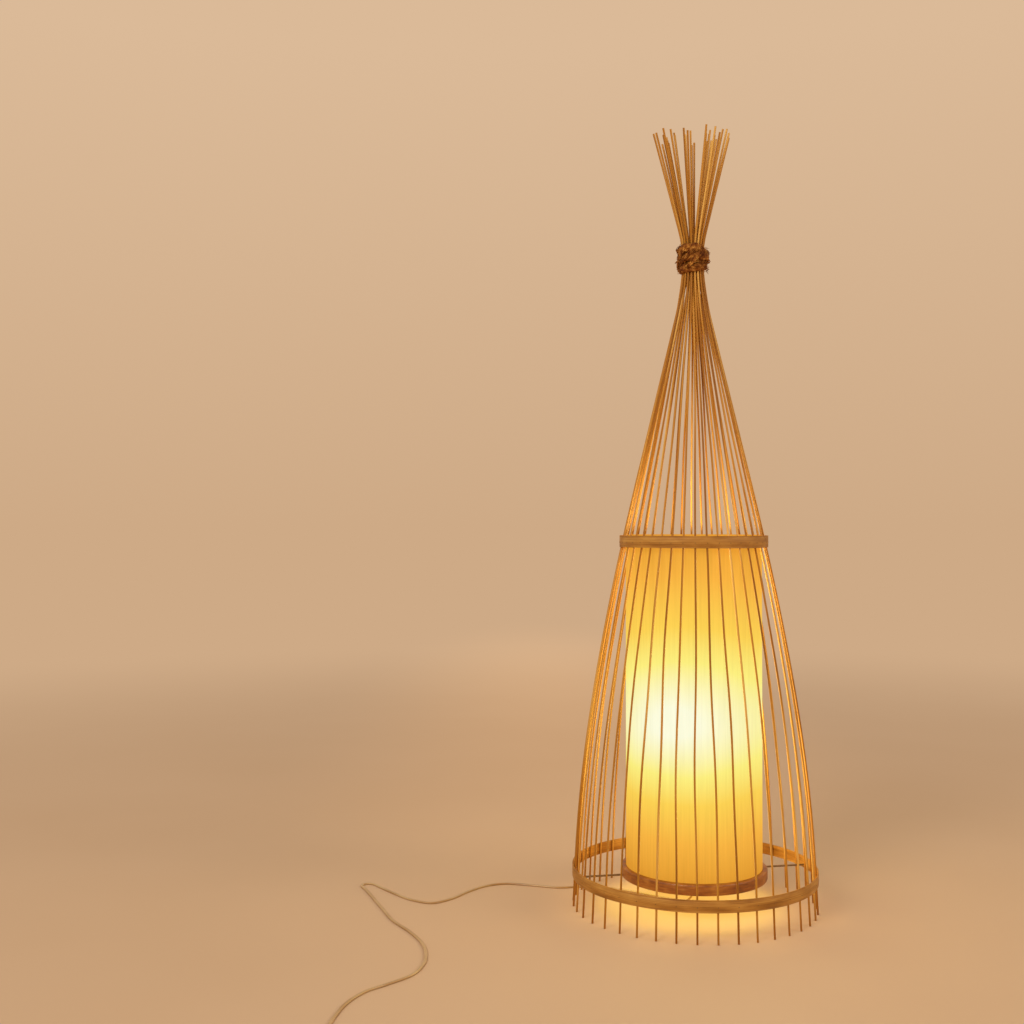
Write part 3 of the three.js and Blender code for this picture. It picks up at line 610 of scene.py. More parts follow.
def stick_line(index):
    """A stick from its tip down through the tie and over the belly to its foot."""
    turn = stick_turn(index)
    bundle, tip_radius, short_by = LAYERS[index % len(LAYERS)]
    slant = TIP_SLANT * math.cos(turn) * tip_radius / OUTER[1]
    tip = TIP_HEIGHT - short_by - TIP_DROP * DROPS[index % len(DROPS)] - slant
    corners = [
        drawn_together(place_round(tip_radius, tip, turn, TIP_SWAY * SWAYS[index % len(SWAYS)])),
        place_round(bundle, TIE_TOP, turn),
        place_round(bundle, TIE_BOTTOM, turn),
        place_round(GATHER_RADIUS, GATHER_HEIGHT, turn),
        place_round(SHOULDER_RADIUS, SHOULDER_HEIGHT, turn),
    ]
    points = []
    for start, end in zip(corners, corners[1:]):
        count = max(2, round((end - start).length / STICK_STEP))
        points += [start.lerp(end, step / count) for step in range(count)]
    points += [place_round(place.x, place.z, turn) for place in BELLY]
    aside = Vector((math.cos(turn), math.sin(turn), 0))
    return [point + aside * wander(index, point.z) for point in soften(points)]


def make_sticks(finish):
    """Forty sticks. Each is a little thicker here and thinner there, as cane is, with its cut ends square."""
    draw = random.Random(7)
    for index in range(STICK_COUNT):
        points = stick_line(index)
        own = draw.uniform(0.95, 1.05)
        shift = draw.uniform(0, 100)
        sizes = [own * (1 + 0.05 * noise.noise(Vector((shift, 0, point.z * 18)))) for point in points]
        shape = bmesh.new()
        sweep(shape, round_section(STICK_RADIUS, 10), frames_along(points, sizes=sizes), start=shift)
        number = f"{index + 1:02d}"
        add_piece(f"cane_stick_{number}", shape, finish, [f"stick_{number}"], crease=40.0)


def make_hoop(name, finish, node):
    """An upright band with softened edges and a fine groove beside each of them."""
    low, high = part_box(node)
    outer, inner, top = high.x, high.x - HOOP_THICKNESS, high.z
    outline = rounded_band(inner, outer, low.z, top, HOOP_CORNER)
    grooves = []
    for height in (low.z + GROOVE_INSET, top - GROOVE_INSET):
        bottom = (outer - GROOVE_DEPTH, height)
        grooves += [(outer, height - GROOVE_HALF), bottom, (outer, height + GROOVE_HALF)]
    shape = spun(outline[:4] + grooves + outline[4:], 160, closed=True)
    for vert in shape.verts:
        vert.co.z += HOOP_WARP * noise.noise(Vector((vert.co.x * 9, vert.co.y * 9, low.z * 50)))
    add_piece(name, shape, finish, [node])
    return outer


def make_brads(finish, hoops):
    """Small round-headed brads that hold the hoops to the sticks."""
    shape = bmesh.new()
    for bottom, radius in hoops:
        for index in range(STICK_COUNT):
            turn = stick_turn(index)
            facing = Matrix.Rotation(turn, 4, "Z") @ Matrix.Rotation(math.radians(90), 4, "X")
            place = Matrix.Translation(place_round(radius, bottom + BRAD_RISE, turn)) @ facing
            flat = place @ Matrix.Diagonal((1, 1, 0.5, 1))
            bmesh.ops.create_uvsphere(shape, u_segments=8, v_segments=5, radius=BRAD_RADIUS, matrix=flat)
    add_piece("hoop_brads", shape, finish)


# The tie: bark wound over and over, with loose ends

def bark_strand(shape, points, height, depth, seed, taper=False):
    """One rough strand of bark along a line. Its ends are drawn in if it tapers."""
    last = len(points) - 1
    sizes = []
    for index in range(last + 1):
        size = 1 + 0.45 * noise.noise(Vector((seed, 0.5, index * 0.4)))
        if taper:
            size *= max(0.15, math.sin(math.pi * min(max(index / last, 0.06), 0.94)) ** 0.6)
        sizes.append(size)
    strand = bmesh.new()
    section = round_section(depth / 2, 7, height / 2)
    sweep(strand, section, frames_along(points, level=True, sizes=sizes), start=seed)
    for vert in strand.verts:
        coarse = noise.noise_vector(Vector((vert.co.x * 330, vert.co.y * 330, vert.co.z * 420 + seed)))
        vert.co += Vector(coarse) * depth * 0.22
    join_to(shape, strand)


def bark_bundle(shape, points, height, depth, strands, seed, draw, taper=False):
    """Strands of bark laid together and twisted, which make one rough cord as high and as deep as given."""
    lay = draw.uniform(0, 6.28)
    twist = draw.choice((-1, 1)) * 2 * math.pi / (TIE_TWIST * MM)
    run = [0.0]
    for before, after in zip(points, points[1:]):
        run.append(run[-1] + (after - before).length)
    frames = frames_along(points, level=True)
    for strand in range(strands):
        own = draw.uniform(0.7, 1.3)
        line = []
        for length, place in zip(run, frames):
            turn = lay + 2 * math.pi * strand / strands + twist * length
            stray = 1 + 0.45 * noise.noise(Vector((strand * 5.1 + seed, 0.5, length * 110)))
            offset = Vector((depth * 0.34 * math.cos(turn), height * 0.38 * math.sin(turn), 0)) * stray
            line.append(place @ offset)
        bark_strand(shape, line, height * 0.3 * own, depth * 0.42 * own, seed + strand * 1.7, taper)


def on_tie(out, height, turn):
    """A place on the tie: millimetres out from the sticks and up from its bottom, and a turn."""
    return place_round(OUTER[0] + STICK_RADIUS + out * MM, TIE_BOTTOM + height * MM, turn)


def wind_rounds(shape, draw):
    for number, (height, tall, tilt, start, out, aside) in enumerate(TIE_ROUNDS):
        line = []
        for step in range(81):
            turn = start + 2.06 * math.pi * step / 80
            bump = noise.noise(Vector((math.cos(turn) * 1.7, math.sin(turn) * 1.7, number * 4.7)))
            lift = tilt * math.sin(turn - start) + 2.4 * bump
            line.append(on_tie(out + 1.3 * bump, height + lift, turn) + Vector((aside * MM, 0, 0)))
        bark_bundle(shape, line, tall * MM, 5.6 * MM, 11, 3.0 + number * 20, draw)


def wind_crossings(shape, draw):
    for number, (start, low, end, high) in enumerate(TIE_CROSSINGS):
        line = []
        for step in range(31):
            share = step / 30
            out = 5.0 + 1.6 * math.sin(math.pi * share)
            line.append(on_tie(out, low + (high - low) * ease(share), start + (end - start) * share))
        bark_bundle(shape, line, 6.4 * MM, 4 * MM, 6, 201.0 + number * 20, draw, taper=True)


def stand_ends_off(shape, draw):
    for number, (start, height, way, rise, thick, reach) in enumerate(TIE_ENDS):
        line = []
        for step in range(11):
            share = step / 10
            line.append(on_tie(3.6 + (reach - 3.6) * share, height + rise * share, start + way * share))
        bark_bundle(shape, line, thick * MM, thick * 0.8 * MM, 5, 401.0 + number * 20, draw, taper=True)


def add_fibres(shape, draw):
    """Fine fibres that stand off the tie on all sides."""
    girth = (OUTER[0] + STICK_RADIUS) / MM
    for _ in range(FIBRE_COUNT):
        turn = draw.uniform(0, 2 * math.pi)
        height = draw.uniform(2, (TIE_TOP - TIE_BOTTOM) / MM - 1)
        length = draw.uniform(4, 10)
        way = draw.uniform(-1.2, 1.2)
        lift = draw.uniform(-0.7, 0.7)
        base = on_tie(FIBRE_FOOT, height, turn)
        tip = on_tie(FIBRE_FOOT + 2 + length * 0.3, height + length * lift, turn + way * length / girth)
        middle = (base + tip) / 2 + place_round(0.9 * MM, 0, turn)
        section = round_section(draw.uniform(0.2, 0.55) * MM, 5)
        fibre = bmesh.new()
        sweep(fibre, section, frames_along([base, middle, tip], sizes=[1.0, 0.85, 0.25]), start=base.z)
        join_to(shape, fibre)


def make_tie(finish):
    """Three rounds of twisted bark, cords that cross over them, torn ends that stand off, and fine fibres."""
    shape = bmesh.new()
    draw = random.Random(TIE_SEED)
    # Without its own seed noise_vector takes its offsets from the clock
    noise.seed_set(TIE_SEED)
    wind_rounds(shape, draw)
    wind_crossings(shape, draw)
    stand_ends_off(shape, draw)
    add_fibres(shape, draw)
    add_piece("bark_tie", shape, finish, ["neck_tie"], crease=50.0)


# The shade and what it stands on

def make_shade(finish, ring, wire):
    low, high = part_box("shade_skin")
    outer, inner = high.x, high.x - SHADE_WALL
    heights = [low.z + (high.z - low.z) * row / SHADE_ROWS for row in range(SHADE_ROWS + 1)]
    profile = [(outer, height) for height in heights] + [(inner, height) for height in reversed(heights)]
    shape = spun(profile, 128, closed=True)
    # The sheet laps over itself at the back
    lap = []
    for face in shape.faces:
        place = face.calc_center_median()
        if place.y > inner + SHADE_WALL / 2 and abs(place.x) < LAP_REACH:
            lap.append(face)
    grown = bmesh.ops.extrude_face_region(shape, geom=lap)["geom"]
    bmesh.ops.translate(shape, verts=vertices_of(grown), vec=(0, LAP_LIFT, 0))
    bmesh.ops.delete(shape, geom=lap, context="FACES_ONLY")
    add_piece("paper_shade", shape, finish, ["shade_skin"])

    low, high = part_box("shade_base_ring")
    outline = rounded_band(high.x - RING_WIDTH, high.x, low.z, high.z, RING_CORNER)
    add_piece("base_ring", spun(outline, 160, closed=True), ring, ["shade_base_ring"])

    low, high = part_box("shade_top_wire")
    middle = (low.z + high.z) / 2
    circle = [(high.x - WIRE_RADIUS + x, middle + y) for x, y in round_section(WIRE_RADIUS, 10)]
    add_piece("top_wire", spun(circle, 120, closed=True), wire, ["shade_top_wire"])


def make_rod(finish):
    """The rod that crosses under the base ring, beside the stem's nut, and ends in the lower hoop."""
    low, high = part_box("support_rod")
    along = Vector((math.cos(ROD_HEADING), math.sin(ROD_HEADING), 0))
    middle = UP.cross(along) * (NUT_RADIUS + FIT_GAP + ROD_RADIUS) + UP * (low.z + high.z) / 2
    half = (high.x - low.x) / 2 / math.cos(ROD_HEADING) - END_GAP
    points = [middle + along * half * share for share in (-1, -0.6, -0.2, 0.2, 0.6, 1)]
    shape = bmesh.new()
    sweep(shape, round_section(ROD_RADIUS, 14), frames_along(points, level=True))
    add_piece("cross_rod", shape, finish, ["support_rod"])


# Lampholder, stem and bulb

def in_place(outline, base=0):
    """An outline in millimetres, with heights from a base, as places in metres."""
    return [(radius * MM, (base + height) * MM) for radius, height in outline]


def thread(bottom, top):
    """The outline of a screw thread, one ridge to each turn."""
    root = THREAD_RADIUS - THREAD_DEPTH
    outline = []
    height = bottom
    while height + THREAD_PITCH <= top:
        outline += [(root, height), (THREAD_RADIUS, height + THREAD_PITCH / 2)]
        height += THREAD_PITCH
    return outline + [(root, top)]


def make_stem(finish):
    stem = [(STEM_BORE, STEM_BOTTOM), *thread(STEM_BOTTOM, COLLAR_BOTTOM - 0.2)]
    stem += [(COLLAR_RADIUS, COLLAR_BOTTOM), (COLLAR_RADIUS, COLLAR_TOP)]
    stem += [*thread(COLLAR_TOP, STEM_TOP), (STEM_BORE, STEM_TOP)]
    add_piece("threaded_stem", spun(in_place(stem), 32, closed=True), finish, ["stem_tube"])


def make_lampholder(shell, brass):
    """A ribbed cup, and the insert that takes the bulb's cap."""
    cup = [(5.3, 0), (8.4, 0), (9, 0.6), (9, 8), (16.6, 14), (17.6, 14.8), (19, 22), (19, 24)]
    for rib in range(8):
        foot = 25 + rib * 3
        cup += [(19, foot), (18.55, foot + 0.7), (18.55, foot + 1.5), (19, foot + 2.2)]
    cup += [(19, 57), (18.2, 58), (17.2, 58), (17.2, 24), (5.3, 16)]
    outline = in_place(cup, HOLDER_BASE)
    add_piece("lampholder_shell", spun(outline, 64, closed=True), shell, ["lampholder_cup"])
    insert = in_place([(0, 0), (16.9, 0), (16.9, 32.7), (13.6, 32.7), (13.6, 5), (0, 5)], INSERT_BASE)
    add_piece("screw_shell", spun(insert, 48), brass, ["lampholder_insert"])


def make_bulb(metal, glass):
    """A screw cap with its ridges, and the glass globe on it."""
    cap = [(0, 0), (4.2, 0), (4.5, 0.4), (4.5, 2), (10, 5), (12.6, 8)]
    for ridge in range(5):
        foot = 8.4 + ridge * 3.4
        cap += [(12.5, foot), (13.2, foot + 1.1), (13.2, foot + 1.7), (12.5, foot + 2.8)]
    cap += [(12.5, 25.6), (NECK_RADIUS, 28), (0, 28)]
    outline = in_place(cap, CAP_BASE)
    add_piece("bulb_screw_cap", spun(outline, 48), metal, ["bulb_cap"], body="bulb")
    outside = glass_wall(NECK_RADIUS, GLOBE_RADIUS)
    inside = glass_wall(NECK_RADIUS - GLASS_WALL, GLOBE_RADIUS - GLASS_WALL)
    outline = in_place(inside[::-1] + outside, NECK_BASE)
    add_piece("bulb_glass", spun(outline, 64), glass, ["bulb_globe"], body="bulb")


def glass_wall(neck, globe):
    """One side of the glass: up the neck and round the globe to its crown."""
    wide, high = globe * math.cos(GLOBE_START), GLOBE_RISE + globe * math.sin(GLOBE_START)
    wall = [(neck + share * (wide - neck), up * high) for share, up in NECK_SHARES]
    for step in range(18):
        turn = GLOBE_START + (math.pi / 2 - GLOBE_START) * step / 18
        wall.append((globe * math.cos(turn), GLOBE_RISE + globe * math.sin(turn)))
    return wall + [(0, GLOBE_RISE + globe)]


def make_grip(finish):
    """The cord grip: a ridged tail under a flange, and the plug that holds it in the stem."""
    grip = [(0, 0), (2.7, 0), (3.1, 0.6)]
    for ridge in range(4):
        foot = 2 + ridge * 2.4
        wide = 3.2 + 0.22 * ridge
        grip += [(wide, foot), (wide + 0.15, foot + 0.3), (wide + 0.15, foot + 1.1), (wide - 0.2, foot + 1.4)]
    grip += [(4.2, 12), (5.2, 12), (5.4, 12.3), (5.4, 13.7), (5.2, 14), (3.3, 14), (3.3, 22), (0, 22)]
    add_piece("strain_relief", spun(in_place(grip, GRIP_BASE), 40), finish, ["cord_grip"])


def dress_node(name, finish):
    """Gives a CAD node that is shown as it is a better material."""
    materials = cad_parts[name].data.materials
    materials.clear()
    materials.append(finish.material)


# Cord, switch and plug

def smooth_route(marks, spacing):
    """A smooth line through the marks, as the CAD cord follows, in even steps."""
    marks = [Vector(mark) * MM for mark in marks]
    ends = [marks[0] * 2 - marks[1], *marks, marks[-1] * 2 - marks[-2]]
    dense = []
    for a, b, c, d in zip(ends, ends[1:], ends[2:], ends[3:]):
        gaps = [max((q - p).length ** 0.5, 0.0001) for p, q in ((a, b), (b, c), (c, d))]
        leave = ((b - a) / gaps[0] - (c - a) / (gaps[0] + gaps[1]) + (c - b) / gaps[1]) * gaps[1]
        arrive = ((c - b) / gaps[1] - (d - b) / (gaps[1] + gaps[2]) + (d - c) / gaps[2]) * gaps[1]
        for step in range(24):
            t = step / 24
            dense.append(
                b + leave * t + ((c - b) * 3 - leave * 2 - arrive) * t ** 2
                + ((b - c) * 2 + leave + arrive) * t ** 3
            )
    dense.append(marks[-1])
    return even_steps(dense, spacing)


def even_steps(points, spacing):
    """The same line in steps of one length."""
    runs = [0.0]
    for before, after in zip(points, points[1:]):
        runs.append(runs[-1] + (after - before).length)
    count = round(runs[-1] / spacing)
    placed = []
    index = 0
    for step in range(count + 1):
        target = runs[-1] * step / count
        while index < len(runs) - 2 and runs[index + 1] < target:
            index += 1
        share = (target - runs[index]) / (runs[index + 1] - runs[index])
        placed.append(points[index].lerp(points[index + 1], share))
    return placed


def ease(share):
    share = min(max(share, 0.0), 1.0)
    return share * share * (3 - 2 * share)


def coil_line():
    """From the switch down to the floor, in to the middle on the floor, and out again on top."""
    start = SWITCH_PLACE + Vector((SWITCH_LENGTH / 2 + FIT_GAP, 0, SWITCH_ENTRY))
    entry_x = start.x + COIL_RUN
    centre = Vector((entry_x, start.y - COIL_RADIUS, 0))
    points = [start.copy(), start + Vector((FLEX_WIDTH, 0, 0))]
    for step in range(1, 14):
        share = step / 14
        x = start.x + FLEX_WIDTH + share * (COIL_RUN - FLEX_WIDTH)
        points.append(Vector((x, start.y, start.z + (FLEX_REST - start.z) * ease(share / 0.6))))
    for step in range(COIL_TURNS * 48 + 1):
        turn = step / 48
        radius = COIL_RADIUS - COIL_PITCH * min(turn, COIL_TURNS - turn)
        height = FLEX_REST + COIL_LAYER * ease((turn - COIL_TURNS / 2) / 0.5 + 0.5)
        points.append(centre + place_round(radius, height, math.pi - 2 * math.pi * turn))
    for step in range(1, 15):
        share = step / 14
        height = FLEX_REST + COIL_LAYER + (PLUG_HEIGHT / 2 - FLEX_REST - COIL_LAYER) * ease(share)
        points.append(Vector((entry_x + share * (COIL_RUN - FLEX_WIDTH), start.y, height)))
    points.append(Vector((entry_x + COIL_RUN, start.y, PLUG_HEIGHT / 2)))
    return points


def flex_section():
    """Two round cores side by side with a groove between them."""
    lobe = FLEX_THICKNESS / 2
    offset = FLEX_WIDTH / 2 - lobe
    right = [math.radians(angle) for angle in range(-125, 126, 25)]
    half = [(offset + lobe * math.cos(turn), lobe * math.sin(turn)) for turn in right]
    return half + [(-x, -y) for x, y in half]


def make_flex(finish):
    """The lead to the switch, and the coil from the switch to the plug."""
    lead_path = smooth_route(LEAD_ROUTE, FLEX_THICKNESS)
    for point in lead_path:
        point.z = max(point.z, FLEX_REST)
    shape = bmesh.new()
    first = UP.cross(Vector((*LEAD_ROUTE[2][:2], 0)))
    sweep(shape, flex_section(), frames_along(lead_path, first_side=first, level=True))
    lead = add_piece("flex_lead", shape, finish, ["cord_lead"], crease=60.0)
    coil_path = coil_line()
    shape = bmesh.new()
    sweep(shape, flex_section(), frames_along(coil_path, level=True))
    coil = add_piece("flex_coil", shape, finish, ["cord_coil"], crease=60.0)
    return lead, lead_path, coil, coil_path


def cut(target, cutters):
    """Cuts shapes out of a bmesh, exactly, and returns the result as a new bmesh."""
    block = object_of("block", target)
    tools = [object_of(f"cutter_{index}", cutter) for index, cutter in enumerate(cutters)]
    for tool in tools:
        modifier = block.modifiers.new(tool.name, "BOOLEAN")
        modifier.operation = "DIFFERENCE"
        modifier.solver = "EXACT"
        modifier.object = tool
    bpy.context.view_layer.update()
    result = bmesh.new()
    result.from_mesh(block.evaluated_get(bpy.context.evaluated_depsgraph_get()).data)
    for made in (block, *tools):
        bpy.data.objects.remove(made)
    return result


def object_of(name, shape):
    mesh = bpy.data.meshes.new(name)
    bmesh.ops.recalc_face_normals(shape, faces=shape.faces)
    shape.to_mesh(mesh)
    shape.free()
    return add_object(name, mesh)


def add_cone(shape, radius, tip_radius, length, matrix, sides=20):
    bmesh.ops.create_cone(
        shape, cap_ends=True, segments=sides, radius1=radius, radius2=tip_radius, depth=length, matrix=matrix,
    )


def cylinder(radius, length, matrix, sides=24):
    shape = bmesh.new()
    add_cone(shape, radius, radius, length, matrix, sides)
    return shape


def box(size, middle):
    shape = bmesh.new()
    bmesh.ops.create_cube(shape, size=1, matrix=Matrix.Translation(middle) @ Matrix.Diagonal((*size, 1)))
    return shape


def extruded(outline, way):
    """A solid from a flat outline of places, drawn out by a way."""
    shape = bmesh.new()
    face = shape.faces.new([shape.verts.new(place) for place in outline])
    grown = bmesh.ops.extrude_face_region(shape, geom=[face])["geom"]
    bmesh.ops.translate(shape, verts=vertices_of(grown), vec=way)
    return shape


def bevel_edges(shape, edges, width, segments):
    bmesh.ops.bevel(
        shape, geom=edges, offset=width, offset_type="OFFSET", affect="EDGES", segments=segments, profile=0.5,
        material=-1,
    )


def rise_of(edge):
    return abs((edge.verts[0].co - edge.verts[1].co).z)


def rounded_block(size, middle, corner, edge):
    """A block with rounded upright corners and softened top and bottom edges."""
    shape = box(size, middle)
    upright = [e for e in shape.edges if rise_of(e) > size[2] / 2]
    bevel_edges(shape, upright, corner, 8)
    rim = []
    for e in shape.edges:
        level = [abs(face.normal.z) > 0.9 for face in e.link_faces]
        if rise_of(e) < 1e-6 and len(level) == 2 and any(level) and not all(level):
            rim.append(e)
    bevel_edges(shape, rim, edge, 4)
    return shape


def make_switch_shell(finish):
    """The switch's body, with a pocket for the rocker, a bore for its pin, wells for screws and a seam."""
    middle = SWITCH_PLACE + UP * SWITCH_HEIGHT / 2
    block = rounded_block((SWITCH_LENGTH, SWITCH_WIDTH, SWITCH_HEIGHT), middle, SWITCH_CORNER, SWITCH_EDGE)
    top = SWITCH_PLACE + UP * SWITCH_HEIGHT
    cutters = [box((POCKET_LENGTH, POCKET_WIDTH, POCKET_DEPTH * 2), top)]
    for side in (-1, 1):
        well = top + Vector((side * SCREW_REACH, 0, 0))
        cutters.append(cylinder(WELL_RADIUS, WELL_DEPTH * 2, Matrix.Translation(well)))
        seam = SWITCH_PLACE + Vector((0, side * SWITCH_WIDTH / 2, SEAM_HEIGHT))
        cutters.append(box((SWITCH_LENGTH, 0.4 * MM, 0.5 * MM), seam))
    across = Matrix.Translation(SWITCH_PLACE + UP * PIVOT_HEIGHT) @ Matrix.Rotation(math.radians(90), 4, "X")
    cutters.append(cylinder(1.5 * MM, 15.8 * MM, across, 16))
    return add_piece("switch_shell", cut(block, cutters), finish, ["switch_body"], crease=30.0)


def make_rocker(finish):
    """The rocker's key on its pin, as it stands when on."""
    outline = [
        (-9.05, -1.5), (0, -3), (9.05, -1.5), (10.4, 4.2), (7, 3.45), (3.5, 2.7), (0, 2.4), (-3.5, 2.7),
        (-7, 3.45), (-10.4, 4.2),
    ]
    shape = extruded([(x * MM, -ROCKER_WIDTH / 2, z * MM) for x, z in outline], (0, ROCKER_WIDTH, 0))
    rims = [e for e in shape.edges if abs(e.verts[0].co.y - e.verts[1].co.y) < 1e-7]
    bevel_edges(shape, rims, 0.5 * MM, 3)
    add_cone(shape, 1.2 * MM, 1.2 * MM, 15.2 * MM, Matrix.Rotation(math.radians(90), 4, "X"))
    tilted = Matrix.Translation(SWITCH_PLACE + UP * PIVOT_HEIGHT) @ Matrix.Rotation(ROCKER_TILT, 4, "Y")
    bmesh.ops.transform(shape, matrix=tilted, verts=shape.verts)
    return add_piece("rocker_key", shape, finish, ["switch_rocker"], body="rocker")


def make_screws(finish):
    shape = bmesh.new()
    for side in (-1, 1):
        middle = SWITCH_PLACE + Vector((side * SCREW_REACH, 0, SWITCH_HEIGHT - WELL_DEPTH / 2))
        add_cone(shape, 2.3 * MM, 1.9 * MM, 1 * MM, Matrix.Translation(middle))
    return add_piece("switch_screws", shape, finish)


def make_plug(finish, metal):
    """A flat plug with grip grooves on both faces, and its two pins."""
    low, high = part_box("plug")
    rear = Vector((low.x, (low.y + high.y) / 2, 0))
    half = [(0, 4.5), (6, 6), (13, 9.4), (21, 13.1), (24, 13.5), (32, 13.5), (34.6, 12.6), (36, 10.5)]
    outline = half + [(x, -y) for x, y in reversed(half)]
    shape = extruded([rear + Vector((x * MM, y * MM, 0)) for x, y in outline], (0, 0, PLUG_HEIGHT))
    bmesh.ops.recalc_face_normals(shape, faces=shape.faces)
    rims = [e for e in shape.edges if rise_of(e) < 1e-7]
    bevel_edges(shape, rims, PLUG_EDGE, 4)
    grooves = []
    for row in range(GROOVE_ROWS):
        for height in (0, PLUG_HEIGHT):
            groove = rear + Vector(((23 + 2.6 * row) * MM, 0, height))
            grooves.append(box((0.9 * MM, 40 * MM, 0.8 * MM), groove))
    body = add_piece("plug_shell", cut(shape, grooves), finish, ["plug"], crease=35.0)
    pins = bmesh.new()
    for side in (-1, 1):
        # Each pin has a sleeve and, a little slimmer, its bare end
        for radius, start, end in ((2.0, 35.5, 46), (1.95, 46, 55)):
            middle = rear + Vector(((start + end) / 2 * MM, side * PIN_ASIDE, PLUG_HEIGHT / 2))
            lying = Matrix.Translation(middle) @ Matrix.Rotation(math.radians(90), 4, "Y")
            add_cone(pins, radius * MM, radius * MM, (end - start) * MM, lying, 24)
    tips = [e for e in pins.edges if min(v.co.x for v in e.verts) > high.x - 0.1 * MM]
    bevel_edges(pins, tips, 0.8 * MM, 3)
    return body, add_piece("plug_pins", pins, metal)


# Stage

def make_camera():
    lens = bpy.data.cameras.new("photo_camera")
    lens.lens = CAMERA_LENS
    lens.sensor_width = CAMERA_SENSOR
    lens.clip_start = CAMERA_NEAR
    camera = add_object("photo_camera", lens)
    camera.location = CAMERA_PLACE
    camera.rotation_euler = (CAMERA_PITCH, 0, 0)
    bpy.context.scene.camera = camera


def add_lamp(name, shape, place, power, tint, size, aim, tall=None):
    data = bpy.data.lights.new(name, "AREA")
    data.energy = power
    data.color = tint
    data.shape = shape
    data.size = size
    if tall is not None:
        data.size_y = tall
    lamp = add_object(name, data)
    lamp.location = place
    lamp.rotation_euler = (Vector(place) - Vector(aim)).to_track_quat("Z", "Y").to_euler()
    lamp.visible_camera = False
    return lamp


def halo(finish):
    """The warm light that the lamp casts on the floor behind itself."""
    sockets = {0: finish.coordinates(HALO_SCALE), 1: HALO_PLACE}
    away = finish.node("ShaderNodeVectorMath", {"operation": "DISTANCE"}, sockets, output="Value")
    sockets = {"Value": away, "From Min": 0.0, "From Max": HALO_REACH, "To Min": 1.0, "To Max": 0.0}
    share = finish.node("ShaderNodeMapRange", {"interpolation_type": "SMOOTHSTEP"}, sockets)
    return finish.node("ShaderNodeVectorMath", {"operation": "SCALE"}, {0: HALO_TINT, "Scale": share})


def make_world():
    """Plain light on the lamp, and a backdrop that the camera, metal and glass see in its place."""
    world = bpy.data.worlds.new("studio")
    bpy.context.scene.world = world
    studio = Graph(world)
    light = studio.node("ShaderNodeBackground", {}, {"Color": STUDIO_TINT, "Strength": STUDIO_LIGHT})
    heading = studio.node("ShaderNodeTexCoord", output="Generated")
    rise = studio.node("ShaderNodeSeparateXYZ", {}, {"Vector": heading}, output="Z")
    backdrop = studio.mix(studio.spread(rise, 0.0, 0.36), colour(HORIZON), colour(ZENITH))
    seen = studio.node("ShaderNodeBackground", {}, {"Color": backdrop, "Strength": 1.0})
    path = studio.node("ShaderNodeLightPath").socket.node
    rays = [Value(studio, path.outputs[f"Is {kind} Ray"]) for kind in ("Camera", "Glossy", "Transmission")]
    shown = studio.node("ShaderNodeMixShader", {}, {0: rays[0] + rays[1] + rays[2], 1: light, 2: seen})
    studio.join(studio.nodes["World Output"].inputs["Surface"], shown)


def floor_finish():
    """A pale floor that fades into the backdrop's colour far behind the lamp."""
    finish = Finish("pale_floor")
    place = finish.node("ShaderNodeTexCoord", output="Object")
    reach = finish.node("ShaderNodeVectorMath", {"operation": "LENGTH"}, {0: place}, output="Value")
    clouds = finish.noise(finish.coordinates((2, 2, 2)), 1.0, 2.0)
    warm = halo(finish)
    finish.surface(
        Base_Color=finish.mix(clouds, colour(0xC9A27B), colour(0xD0AA84)),
        Roughness=0.75,
        Specular_IOR_Level=0.2,
        Emission_Color=warm,
        Emission_Strength=1.0,
    )
    far_shade = finish.node("ShaderNodeVectorMath", {"operation": "ADD"}, {0: warm, 1: colour(HORIZON)})
    far = finish.node("ShaderNodeEmission", {}, {"Color": far_shade, "Strength": 1.0})
    sockets = {"Value": reach, "From Min": FLOOR_FADE_START, "From Max": FLOOR_FADE_END}
    fade = finish.node("ShaderNodeMapRange", {"interpolation_type": "SMOOTHSTEP"}, sockets)
    near = Value(finish, finish.shader.outputs[0])
    shown = finish.node("ShaderNodeMixShader", {}, {0: fade, 1: near, 2: far})
    finish.join(finish.nodes["Material Output"].inputs["Surface"], shown)
    return finish


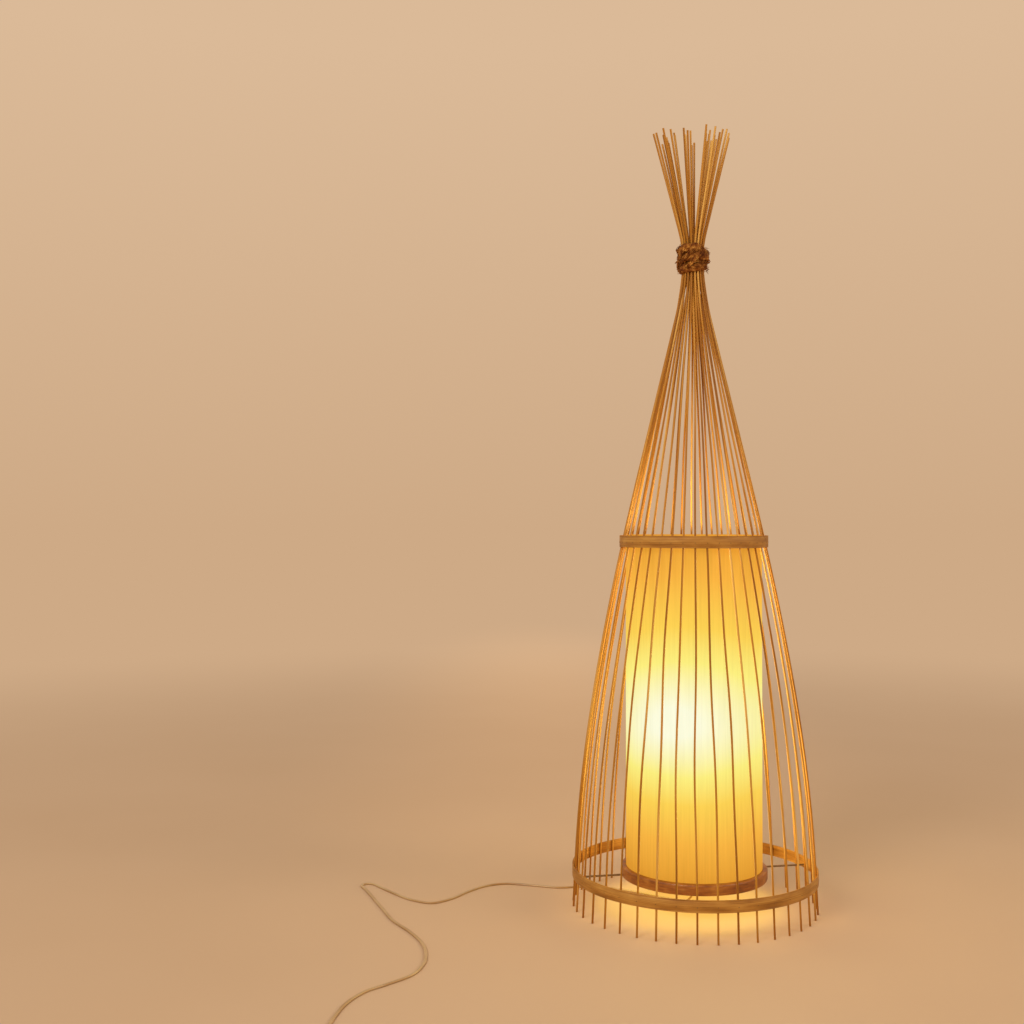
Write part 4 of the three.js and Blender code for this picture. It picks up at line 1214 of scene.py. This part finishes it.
def make_floor(finish):
    floor = bmesh.new()
    bmesh.ops.create_circle(floor, cap_ends=True, segments=96, radius=FLOOR_RADIUS)
    mesh = bpy.data.meshes.new("studio_floor")
    floor.to_mesh(mesh)
    floor.free()
    mesh.materials.append(finish.material)
    add_object("studio_floor", mesh)


def make_lamps():
    for name, place, power, tint, size, aim in DISCS:
        add_lamp(name, "DISK", place, power, tint, size, aim)
    for index in range(GLOW_COUNT):
        turn = 2 * math.pi * (index + 0.5) / GLOW_COUNT
        place = place_round(GLOW_RADIUS, GLOW_HEIGHT, turn)
        aim = place_round(GLOW_RADIUS * 2, GLOW_HEIGHT, turn)
        # The key lamp already lights the left, so the glow is weaker there
        power = 0.31 + 0.07 * math.sin(turn)
        glow = add_lamp(f"glow_{index}", "RECTANGLE", place, power, GLOW_TINT, GLOW_WIDE, aim, GLOW_TALL)
        glow.data.spread = GLOW_SPREAD


# The camera and the cord come first
bpy.context.scene.view_settings.view_transform = "Standard"
make_camera()
fitting = moulded_finish("cream_fitting", 0xCDB68C)
cream = moulded_finish("ivory_plastic", 0xE6DFCF)
zinc = metal_finish("zinc_steel", 0xB9B8B2)
lead, lead_path, coil, coil_path = make_flex(flex_finish())
switch = make_switch_shell(fitting)
rocker = make_rocker(cream)
screws = make_screws(zinc)
plug_shell, plug_pins = make_plug(fitting, zinc)

strip = strip_finish()
dark_wire = metal_finish("browned_wire", 0x86643A, 0.25, 0.5)
make_sticks(cane_finish())
lower_radius = make_hoop("lower_band", strip, "lower_hoop")
upper_radius = make_hoop("upper_band", strip, "upper_hoop")
brad_metal = metal_finish("brad_metal", 0x8A6A3A, 0.8, 0.4)
make_brads(brad_metal, ((LOWER_HOOP, lower_radius), (UPPER_HOOP, upper_radius)))
make_tie(bark_finish())
make_shade(paper_finish(), ring_finish(), dark_wire)
make_rod(dark_wire)
make_stem(zinc)
make_lampholder(cream, metal_finish("pressed_brass", 0xC9A14C, 1.0, 0.3))
make_bulb(zinc, glass_finish())
make_grip(cream)
dress_node("holder_batten", board_finish())
dress_node("stem_nut", zinc)

make_world()
make_floor(floor_finish())
make_lamps()
